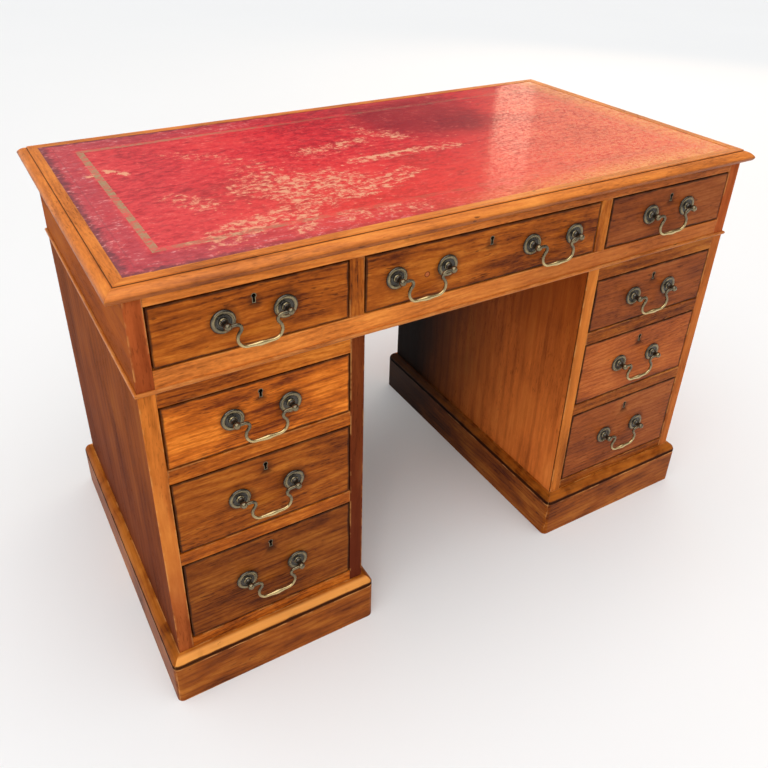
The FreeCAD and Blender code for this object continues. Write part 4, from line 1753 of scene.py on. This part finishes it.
@dataclass(frozen=True)
class Plinth(Joinery):
    """A plinth of mitred boards, with its outer corners worn round."""

    corner_radius: float = 0.010
    corner_cuts: int = 5

    def cuts(self) -> list[Plane]:
        """Divide the boards near the corners, so that they can be bent round them.

        Returns:
            Upright planes, each by a point and its normal.
        """
        low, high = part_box(self.node)
        planes = []
        for axis in range(2):
            normal = Vector((0.0, 0.0, 0.0))
            normal[axis] = 1.0
            for step in range(1, self.corner_cuts + 1):
                reach = self.corner_radius * step / self.corner_cuts
                planes += [(low + reach * normal, normal), (high - reach * normal, normal)]
        return planes

    def build(self) -> Piece:
        """Build the boards and bend them round the corners.

        Returns:
            The piece that the boards make.
        """
        low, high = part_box(self.node)
        piece = super().build()
        piece.corners = [self.bent(corner, low, high) for corner in piece.corners]
        return piece

    def bent(self, corner: Vector, low: Vector, high: Vector) -> Vector:
        """Move a point of a square-cornered plinth to where it lies on a round-cornered one.

        Args:
            corner: The point.
            low: The plinth's lowest corner.
            high: Its highest corner.

        Returns:
            The moved point, still in its mitre if it lies in one.
        """
        signs = [1.0 if corner[axis] - low[axis] < high[axis] - corner[axis] else -1.0 for axis in range(2)]
        sides = [low[axis] if signs[axis] > 0 else high[axis] for axis in range(2)]
        insets = [abs(corner[axis] - sides[axis]) for axis in range(2)]
        depth, along = sorted(insets)
        if along >= self.corner_radius:
            return corner
        reach = self.corner_radius - depth
        angle = math.pi / 4 * (1 - (along - depth) / reach)
        nearer = insets.index(depth)
        moved = corner.copy()
        moved[nearer] = sides[nearer] + signs[nearer] * (self.corner_radius - reach * math.cos(angle))
        other = 1 - nearer
        moved[other] = sides[other] + signs[other] * (self.corner_radius - reach * math.sin(angle))
        return moved


@dataclass
class Top:
    """The top: a panel in a moulded rim, with the leather let in."""

    rim_ease: float = 0.0006
    rim_tone: float = 0.88
    cell: float = 0.012
    edge_drop: float = 0.0007
    dip: float = 0.00022
    dip_waves: tuple[Pair, Pair] = ((9.0, 4.0), (-3.0, 13.0))

    def build(self) -> None:
        """Make the rim, the panel and the leather."""
        rim = {"finish": RIM, "tone": self.rim_tone, "ease": Ease.EVERY, "radius": self.rim_ease}
        Joinery("top_rim", "moulded_rim", **rim).dress()
        Joinery("top_panel", "panel_under_leather", finish=BARE).dress()
        self.leather().shown(LEATHER, CARCASS, "leather_top")

    def fall(self, x: float, y: float) -> float:
        """How far the leather dips at a point, away from its edges."""
        first, second = (math.sin(x_turns * x + y_turns * y) for x_turns, y_turns in self.dip_waves)
        return self.dip * (1 + first * second)

    def leather(self) -> Piece:
        """Make the leather: a thin sheet that dips a little and turns down at its edges.

        Returns:
            The piece.
        """
        low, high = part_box("leather_top")
        extent = high - low
        columns, rows = (round(extent[axis] / self.cell) for axis in range(2))
        corners = []
        for row in range(rows + 1):
            for column in range(columns + 1):
                x = extent.x * column / columns
                y = extent.y * row / rows
                on_edge = column in (0, columns) or row in (0, rows)
                fall = self.edge_drop if on_edge else self.fall(x, y)
                corners.append(low + Vector((x, y, extent.z - fall)))
        width = columns + 1
        faces = []
        for row in range(rows):
            for column in range(columns):
                first = row * width + column
                faces.append((first, first + 1, first + width + 1, first + width))
        rim = list(range(width))
        rim += [row * width + columns for row in range(1, rows + 1)]
        rim += [rows * width + column for column in reversed(range(columns))]
        rim += [row * width for row in reversed(range(1, rows))]
        start = len(corners)
        corners += [Vector((corners[index].x, corners[index].y, low.z)) for index in rim]
        for index, corner in enumerate(rim):
            following = (index + 1) % len(rim)
            faces.append((corner, start + index, start + following, rim[following]))
        faces.append(tuple(start + index for index in reversed(range(len(rim)))))
        piece = Piece("leather_sheet")
        layers = {"place": [corner - low for corner in corners], "extent": [extent for _ in corners]}
        piece.add(Solid(corners, faces), layers)
        return piece


@dataclass
class Carcass:
    """The fixed woodwork below the top."""

    moulding_ease: float = 0.0005
    edge_ease: float = 0.001
    facing: float = 0.004
    upright: float = 0.1
    side_tone: float = 0.6
    # The tones of the facings and rails partly paint shade: lower on the right, and on the left pedestal's
    # stile beside the kneehole
    frieze_facing_tones: Pair = (0.25, 0.25)
    left_facing_tones: Pair = (0.78, -0.3)
    right_facing_tones: Pair = (0.7, 0.4)
    frieze_rail_tone: float = 1.0
    pedestal_rail_tones: Pair = (0.8, 0.3)
    plinth_tone: float = 0.25

    def faced(self, node: str, piece: str, grain: Grain, tones: Pair) -> Piece:
        """Build a node's boards, with an upright facing on the front edge of each side.

        Args:
            node: The CAD node.
            piece: The name of the shown piece.
            grain: How the grain of the boards runs.
            tones: The tones of the facings on the left and on the right.

        Returns:
            The piece.
        """
        dice = random.Random(node)
        made = Piece(piece)
        node_low, node_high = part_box(node)
        for solid in solids_in(node):
            low, high = solid.box()
            parts = [(solid, Board.of(solid, grain, self.side_tone, dice))]
            extent = high - low
            in_front = low.y - node_low.y < Solid.ON_BOX
            if in_front and extent.x < extent.y and extent.z > self.upright:
                seam = low.y + self.facing
                for corner in solid.corners:
                    corner.y = max(corner.y, seam)
                strip = box_solid(low, Vector((high.x, seam, high.z)))
                on_right = low.x + high.x > node_low.x + node_high.x
                parts.append((strip, Board.of(strip, Grain.UPRIGHT, tones[on_right], dice)))
            for part, board in parts:
                rounded = part.eased(self.edge_ease, Ease.OUTLINE)
                made.add(rounded, board.layers(rounded.corners) | {"hollow": rounded.hollow})
        return made

    def build(self) -> None:
        """Make the frieze, the pedestals and the drawer runners."""
        ends = self.faced("frieze_ends", "frieze_end_boards", Grain.LENGTHWAYS, self.frieze_facing_tones)
        ends.shown(FRIEZE_END, CARCASS, "frieze_ends")
        Joinery("frieze_back", "frieze_back_board").dress()
        Joinery("frieze_rails", "frieze_rail_boards", finish=RAIL, tone=self.frieze_rail_tone).dress()
        Joinery("frieze_dividers", "frieze_divider_boards", grain=Grain.UPRIGHT).dress()
        moulding = {"ease": Ease.EVERY, "radius": self.moulding_ease}
        Joinery("frieze_bead", "frieze_bead_strips", finish=MOULDED, **moulding).dress()
        left_tone, right_tone = self.pedestal_rail_tones
        Joinery("pedestal_rails", "pedestal_rail_boards", tone=left_tone, right_tone=right_tone).dress()
        Joinery("drawer_runners", "runner_strips", finish=BARE).dress()
        pedestals = (
            ("left", LEFT_SIDE, self.left_facing_tones, LEFT_PLINTH),
            ("right", RIGHT_SIDE, self.right_facing_tones, PLINTH),
        )
        for side, finish, tones, plinth_finish in pedestals:
            node = f"{side}_pedestal_case"
            self.faced(node, f"{side}_case_boards", Grain.UPRIGHT, tones).shown(finish, CARCASS, node)
            names = (f"{side}_plinth", f"{side}_plinth_boards")
            Plinth(*names, finish=plinth_finish, tone=self.plinth_tone, **moulding).dress()


@dataclass
class RodPath:
    """The middle line of a bent rod, while it is drawn in an upright plane that faces -Y."""

    points: list[Vector]
    heading: float = 0.0

    def forward(self, length: float, steps: int) -> None:
        """Go straight on.

        Args:
            length: How far the line goes.
            steps: How many points it gets.
        """
        start = self.points[-1]
        for step in range(1, steps + 1):
            reach = length * step / steps
            self.points.append(start + reach * Vector((math.cos(self.heading), 0.0, math.sin(self.heading))))

    def curve(self, radius: float, turn: float, steps: int) -> None:
        """Go round an arc.

        Args:
            radius: The arc's radius.
            turn: The angle that the heading changes by, to the left if it is positive.
            steps: How many points the line gets.
        """
        side = math.copysign(radius, turn)
        centre = self.points[-1] + side * Vector((-math.sin(self.heading), 0.0, math.cos(self.heading)))
        for step in range(1, steps + 1):
            angle = self.heading + turn * step / steps
            self.points.append(centre - side * Vector((-math.sin(angle), 0.0, math.cos(angle))))
        self.heading += turn


@dataclass
class Handle:
    """A swan-neck handle: two turned rosettes with ball-headed posts, and a bail between them."""

    pivot: Vector
    face: float
    inside: float
    half_span: float = 0.045
    rosette_radius: float = 0.018
    rosette_chamfer: float = 0.0003
    ring_foot: float = 0.0012
    ring_width: float = 0.007
    ring_curve: float = 0.004
    dish_height: float = 0.0016
    dish_groove: tuple[Pair, ...] = ((0.0098, 0.0017), (0.0093, 0.0012), (0.0088, 0.0017))
    boss_foot: float = 0.007
    boss_radius: float = 0.0048
    boss_height: float = 0.0044
    boss_curve: float = 0.0036
    collar_radius: float = 0.0056
    collar_height: float = 0.0014
    collar_swell: float = 0.0003
    flare_inset: float = 0.0002
    flare_start: float = 0.0015
    flare_end: float = 0.0050
    flare_curve: float = 0.006
    waist_radius: float = 0.0040
    ball_radius: float = 0.0058
    rod_radius: float = 0.0026
    swell: float = 0.0016
    swell_share: float = 0.5
    pin_reach: float = 0.012
    pin_overrun: float = 0.004
    neck_radius: float = 0.007
    neck_length: float = 0.002
    bow_radius: float = 0.0145
    neck_turn: float = math.radians(130.0)
    nut_half: float = 0.0046
    nut_height: float = 0.004
    nut_ease: float = 0.0006
    shank_radius: float = 0.0026
    shank_tip_radius: float = 0.0018
    shank_chamfer: float = 0.0006
    shank_length: float = 0.005
    shank_overrun: float = 0.0015

    # How many sides or steps each round form has
    ROSETTE_SIDES = 48
    POST_SIDES = 28
    SHANK_SIDES = 20
    ROD_SIDES = 16
    RING_STEPS = 14
    BOSS_STEPS = 6
    FLARE_STEPS = 5
    BALL_STEPS = 14
    PIN_STEPS = 5
    BEND_STEPS = 18
    NECK_STEPS = 4
    BOW_STEPS = 22
    BAR_STEPS = 14

    # Wear, from 0 to 1: what each piece has all over, and what hands add to its crest, ball or grip
    ROSETTE_WEAR = 0.12
    CREST_WEAR = 0.33
    CREST_START = 0.002
    CREST_RISE = 0.0015
    POST_WEAR = 0.15
    BALL_WEAR_TO_A_METRE = 18.0
    BALL_START = 0.008
    BAIL_WEAR = 0.35
    GRIP_WEAR = 0.6
    GRIP_FALL = 3
    LEVEL = 1e-6

    def rosette_profile(self) -> list[Pair]:
        """Draw the rosette's section: a half-round ring, a grooved dish and a boss.

        Returns:
            Pairs of a radius and a height above the drawer's face.
        """
        rim, dish = self.rosette_radius, self.dish_height
        back = [(0.0, 0.0), (rim - self.rosette_chamfer, 0.0), (rim, self.rosette_chamfer)]
        inner = (rim - self.ring_width, dish)
        ring = arc_points((rim, self.ring_foot), inner, self.ring_curve, left=True, steps=self.RING_STEPS)
        top = (self.boss_radius, self.boss_height)
        boss = arc_points((self.boss_foot, dish), top, self.boss_curve, left=True, steps=self.BOSS_STEPS)
        return [*back, *ring, *self.dish_groove, *boss, (0.0, self.boss_height)]

    def post_profile(self) -> list[Pair]:
        """Draw the post's section, from the rosette's boss up: a collar, a flared neck and the ball.

        Returns:
            Pairs of a radius and a height above the drawer's face.
        """
        collar, ball, low = self.collar_radius, self.ball_radius, self.boss_height
        swollen = (collar + self.collar_swell, low + self.collar_height / 2)
        section = [(0.0, low), (collar, low), swollen, (collar, low + self.collar_height)]
        flare_foot = (collar - self.flare_inset, low + self.flare_start)
        flare_top = (self.waist_radius, low + self.flare_end)
        section += arc_points(flare_foot, flare_top, self.flare_curve, left=False, steps=self.FLARE_STEPS)
        standoff = self.face - self.pivot.y
        start = math.asin(self.waist_radius / ball)
        for step in range(self.BALL_STEPS):
            angle = start + (math.pi - start) * step / self.BALL_STEPS
            section.append((ball * math.sin(angle), standoff - ball * math.cos(angle)))
        return [*section, (0.0, standoff + ball)]

    def rosette_wear(self, height: float) -> float:
        """How worn a rosette is at a height above the face: most on the crest of its ring."""
        return self.ROSETTE_WEAR + self.CREST_WEAR * max(height - self.CREST_START, 0.0) / self.CREST_RISE

    def post_wear(self, height: float) -> float:
        """How worn a post is at a height above the face: most on its ball."""
        return self.POST_WEAR + self.BALL_WEAR_TO_A_METRE * max(height - self.BALL_START, 0.0)

    def add_fixed(self, brass: Piece, steel: Piece) -> None:
        """Add what is fixed to the drawer.

        Args:
            brass: The piece that gets the rosettes and the posts.
            steel: The piece that gets the nuts.
        """
        turned = (
            (self.rosette_profile(), self.ROSETTE_SIDES, self.rosette_wear),
            (self.post_profile(), self.POST_SIDES, self.post_wear),
        )
        for sign in (-1, 1):
            foot = Vector((self.pivot.x + sign * self.half_span, self.face, self.pivot.z))
            for profile, sides, wear in turned:
                solid = turned_solid(profile, foot, sides)
                brass.add(solid, {"worn": [wear(foot.y - corner.y) for corner in solid.corners]})
            self.add_nut(steel, Vector((foot.x, self.inside, foot.z)))

    def add_nut(self, steel: Piece, seat: Vector) -> None:
        """Add a square nut and the end of the shank behind the drawer front.

        Args:
            steel: The piece that gets them.
            seat: The middle of the nut's seat.
        """
        half = self.nut_half
        low = seat + Vector((-half, 0.0, -half))
        high = seat + Vector((half, self.nut_height, half))
        steel.add(box_solid(low, high).eased(self.nut_ease, Ease.OUTLINE), {})
        end = seat + Vector((0.0, self.nut_height + self.shank_overrun, 0.0))
        shank, length = self.shank_radius, self.shank_length
        tip = [(0.0, 0.0), (self.shank_tip_radius, 0.0), (shank, self.shank_chamfer)]
        steel.add(turned_solid([*tip, (shank, length), (0.0, length)], end, self.SHANK_SIDES), {})

    def bail(self, name: str) -> Piece:
        """Draw the bail out, hanging from its pins.

        Args:
            name: The name of the piece.

        Returns:
            The piece.
        """
        line = RodPath([Vector((-self.half_span - self.pin_overrun, 0.0, 0.0))])
        line.forward(self.pin_overrun + self.pin_reach, self.PIN_STEPS)
        line.curve(self.neck_radius, -self.neck_turn, self.BEND_STEPS)
        line.forward(self.neck_length, self.NECK_STEPS)
        line.curve(self.bow_radius, self.neck_turn, self.BOW_STEPS)
        bar = -line.points[-1].x
        line.forward(bar, self.BAR_STEPS)
        mirrored = [Vector((-point.x, 0.0, point.z)) for point in reversed(line.points[:-1])]
        path = line.points + mirrored
        lowest = line.points[-1].z
        radii = []
        for point in path:
            on_bar = abs(point.z - lowest) < self.LEVEL
            from_middle = point.x / (bar * self.swell_share) if on_bar else math.inf
            radii.append(self.rod_radius + self.swell * math.exp(-(from_middle**2)))
        rod = drawn_rod([self.pivot + point for point in path], radii, self.ROD_SIDES)
        worn = []
        for corner in rod.corners:
            down = max((corner.z - self.pivot.z) / lowest, 0.0)
            worn.append(self.BAIL_WEAR + self.GRIP_WEAR * down**self.GRIP_FALL)
        piece = Piece(name)
        piece.add(rod, {"worn": worn})
        return piece


@dataclass
class Drawer:
    """A drawer: its front, box, lock, bolt, rosettes and bails."""

    name: str
    tone: float
    face: Wood = DRAWER_FACE
    handles: dict[str, Handle] = field(default_factory=dict)
    front_ease: float = 0.0014
    front_shrink: float = 0.0008
    metal_ease: float = 0.0004
    liner_wear: float = 0.35
    pin_radius: float = 0.0022
    pin_inset: float = 0.006
    pin_crown_radius: float = 0.00132
    pin_crown_drop: float = 0.0001
    pin_shoulder: float = 0.0005
    pin_length: float = 0.002
    pin_proud: float = 0.0008

    PIN_SIDES = 16

    @property
    def body(self) -> str:
        """The body that the drawer's own pieces ride on."""
        return f"{self.name}_drawer"

    def build(self) -> None:
        """Make all the drawer's pieces."""
        front_low, front_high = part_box(f"{self.name}_front")
        for joint in frame["joints"]:
            if joint["parent"] == self.body and joint["type"] == "hinge":
                pivot = Vector(joint["pos_m"])
                self.handles[joint["child"]] = Handle(pivot, face=front_low.y, inside=front_high.y)
        fittings = f"{self.name}_fittings"
        liner, lock = islice(solids_in(fittings), 2)
        self.front(liner)
        Joinery(f"{self.name}_box", f"{self.name}_box_boards", self.body, BARE).dress()
        brass = Piece(f"{self.name}_rosettes")
        steel = Piece(f"{self.name}_lock")
        brass.add(liner, {"worn": [self.liner_wear] * len(liner.corners)})
        steel.add(lock.eased(self.metal_ease, Ease.OUTLINE), {})
        self.add_lock_pins(steel, *lock.box())
        for handle in self.handles.values():
            handle.add_fixed(brass, steel)
        brass.shown(BRASS, self.body, fittings)
        steel.shown(STEEL, self.body)
        bolt = Piece(f"{self.name}_bolt_bar")
        for solid in solids_in(f"{self.name}_lock_bolt"):
            bolt.add(solid.eased(self.metal_ease, Ease.OUTLINE), {})
        bolt.shown(STEEL, f"{self.name}_bolt", f"{self.name}_lock_bolt")
        for body, handle in self.handles.items():
            (bail,) = BODIES[body]
            handle.bail(f"{bail}_rod").shown(BRASS, body, bail)

    def add_lock_pins(self, steel: Piece, low: Vector, high: Vector) -> None:
        """Add the four round-headed pins that hold the lock case.

        Args:
            steel: The piece that gets them.
            low: The lowest corner of the lock case.
            high: Its highest corner.
        """
        radius, inset, length = self.pin_radius, self.pin_inset, self.pin_length
        head = [(0.0, 0.0), (self.pin_crown_radius, self.pin_crown_drop), (radius, self.pin_shoulder)]
        head += [(radius, length), (0.0, length)]
        for x in (low.x + inset, high.x - inset):
            for z in (low.z + inset, high.z - inset):
                steel.add(turned_solid(head, Vector((x, high.y + self.pin_proud, z)), self.PIN_SIDES), {})

    def front(self, liner: Solid) -> None:
        """Make the front, with the places of its handles and keyhole for its wear.

        Args:
            liner: The keyhole's liner.
        """
        low, high = liner.box()
        keyhole = (low + high) / 2
        first = next(iter(self.handles.values()))
        middle = sum(handle.pivot.x for handle in self.handles.values()) / len(self.handles)
        offset = abs(first.pivot.x - middle)
        joinery = Joinery(
            f"{self.name}_front",
            f"{self.name}_front_board",
            self.body,
            self.face,
            tone=self.tone,
            radius=self.front_ease,
            shrink=self.front_shrink,
        )
        piece = joinery.build()
        piece.layers["handle"] = [
            (corner.x - middle, offset, corner.z - first.pivot.z) for corner in piece.corners
        ]
        piece.layers["keyhole"] = [corner - keyhole for corner in piece.corners]
        piece.shown(self.face, self.body, joinery.node)


@dataclass(frozen=True)
class Lamp:
    """A soft rectangular studio light."""

    name: str
    place: Triple
    aim: Triple
    width: float
    height: float
    power: float
    colour: Triple

    def build(self) -> None:
        """Hang the light and point it."""
        light = bpy.data.lights.new(self.name, "AREA")
        light.shape = "RECTANGLE"
        light.size = self.width
        light.size_y = self.height
        light.energy = self.power
        light.color = self.colour
        lamp = bpy.data.objects.new(self.name, light)
        lamp.location = self.place
        lamp.rotation_euler = (Vector(self.aim) - Vector(self.place)).to_track_quat("-Z", "Y").to_euler()
        lamp.visible_camera = False
        bpy.context.scene.collection.objects.link(lamp)


@dataclass
class Studio:
    """The floor, the light and the camera."""

    floor_half: float = 30.0
    sun_strength: float = 1.75
    sun_aim: Triple = (0.22, 0.25, -1.0)
    sun_spread: float = math.radians(80.0)
    sky_stops: tuple[tuple[float, Triple], ...] = (
        (0.0, (1.28, 1.29, 1.29)),
        (0.54, (1.28, 1.29, 1.29)),
        (0.60, (0.16, 0.15, 0.14)),
        (0.80, (0.45, 0.44, 0.43)),
        (1.0, (1.4, 1.4, 1.4)),
    )
    sky_strength: float = 0.7
    lamps: tuple[Lamp, ...] = (
        Lamp("key", (-1.5, -2.6, 2.3), (-0.2, -0.3, 0.4), 1.6, 1.6, 10.0, (1.0, 0.95, 0.88)),
        Lamp("glint", (-1.9, -2.2, 2.0), (-0.2, -0.3, 0.5), 0.22, 0.22, 3.0, (1.0, 0.97, 0.92)),
        Lamp("window", (3.83, 2.69, 2.2), (0.3, 0.0, 0.8), 2.3, 2.6, 20.0, (1.0, 0.68, 0.40)),
        Lamp("window edge", (3.2, 3.44, 2.2), (0.3, 0.0, 0.8), 0.28, 2.4, 2.6, (1.0, 0.76, 0.55)),
    )
    eye: Triple = (-0.7204, -1.1650, 1.2133)
    ahead: Triple = (0.43435, 0.74036, -0.51303)
    right: Triple = (0.86736, -0.49740, 0.01653)
    sensor_width: float = 36.0
    focal_pixels: float = 782.07
    frame_pixels: float = 768.0
    axis_pixel: Pair = (370.49, 329.74)

    def build(self) -> None:
        """Set up the whole studio."""
        self.floor()
        self.sky()
        self.sun()
        for lamp in self.lamps:
            lamp.build()
        self.camera()
        bpy.context.scene.view_settings.view_transform = "Standard"

    def floor(self) -> None:
        """A wide pale floor under the desk."""
        half = self.floor_half
        mesh = bpy.data.meshes.new("floor")
        corners = [(-half, -half, 0.0), (half, -half, 0.0), (half, half, 0.0), (-half, half, 0.0)]
        mesh.from_pydata(corners, [], [(0, 1, 2, 3)])
        mesh.materials.append(FLOOR.material())
        floor = bpy.data.objects.new("floor", mesh)
        bpy.context.scene.collection.objects.link(floor)

    def sky(self) -> None:
        """Soft light from all round: pale about the horizon, dim above it, bright overhead."""
        world = bpy.data.worlds.new("studio")
        world.use_nodes = True
        bpy.context.scene.world = world
        shade = Shade(world.node_tree)
        _, _, up = shade.parts(shade.node("ShaderNodeTexCoord", output="Generated"))
        colour = shade.ramp(up * 0.5 + 0.5, self.sky_stops)
        light = shade.node("ShaderNodeBackground", inputs={"Color": colour, "Strength": self.sky_strength})
        shade.node("ShaderNodeOutputWorld", inputs={"Surface": light})

    def sun(self) -> None:
        """A broad soft light from the front left, even over the whole floor."""
        light = bpy.data.lights.new("broad light", "SUN")
        light.energy = self.sun_strength
        light.angle = self.sun_spread
        lamp = bpy.data.objects.new("broad light", light)
        lamp.rotation_euler = Vector(self.sun_aim).to_track_quat("-Z", "Y").to_euler()
        bpy.context.scene.collection.objects.link(lamp)

    def camera(self) -> None:
        """The camera, where the photograph was taken from."""
        camera = bpy.data.cameras.new("camera")
        camera.sensor_width = self.sensor_width
        camera.lens = self.sensor_width * self.focal_pixels / self.frame_pixels
        middle = self.frame_pixels / 2
        camera.shift_x = (middle - self.axis_pixel[0]) / self.frame_pixels
        camera.shift_y = (self.axis_pixel[1] - middle) / self.frame_pixels
        ahead = Vector(self.ahead).normalized()
        right = Vector(self.right).normalized()
        up = right.cross(ahead)
        turn = Matrix((right, up, -ahead)).transposed()
        thing = bpy.data.objects.new("camera", camera)
        thing.matrix_world = Matrix.Translation(Vector(self.eye)) @ turn.to_4x4()
        bpy.context.scene.collection.objects.link(thing)
        bpy.context.scene.camera = thing


# The drawers' tones and the darker, redder fronts on the right partly paint the fall of light and shade
# across the front, besides each front's own tone
DRAWERS = (
    Drawer("top_left", tone=0.68),
    Drawer("top_centre", tone=0.6, face=PLUGGED_FACE),
    Drawer("top_right", tone=0.25, face=RED_FACE),
    Drawer("left_upper", tone=1.3),
    Drawer("left_middle", tone=0.35),
    Drawer("left_lower", tone=0.0),
    Drawer("right_upper", tone=0.27, face=RED_FACE),
    Drawer("right_middle", tone=0.8, face=RED_FACE),
    Drawer("right_lower", tone=0.4, face=RED_FACE),
)


def main() -> None:
    """Build the desk and the studio."""
    logging.basicConfig(level=logging.INFO, format="%(message)s")
    Top().build()
    Carcass().build()
    for drawer in DRAWERS:
        drawer.build()
    Studio().build()


if __name__ == "__main__":
    main()
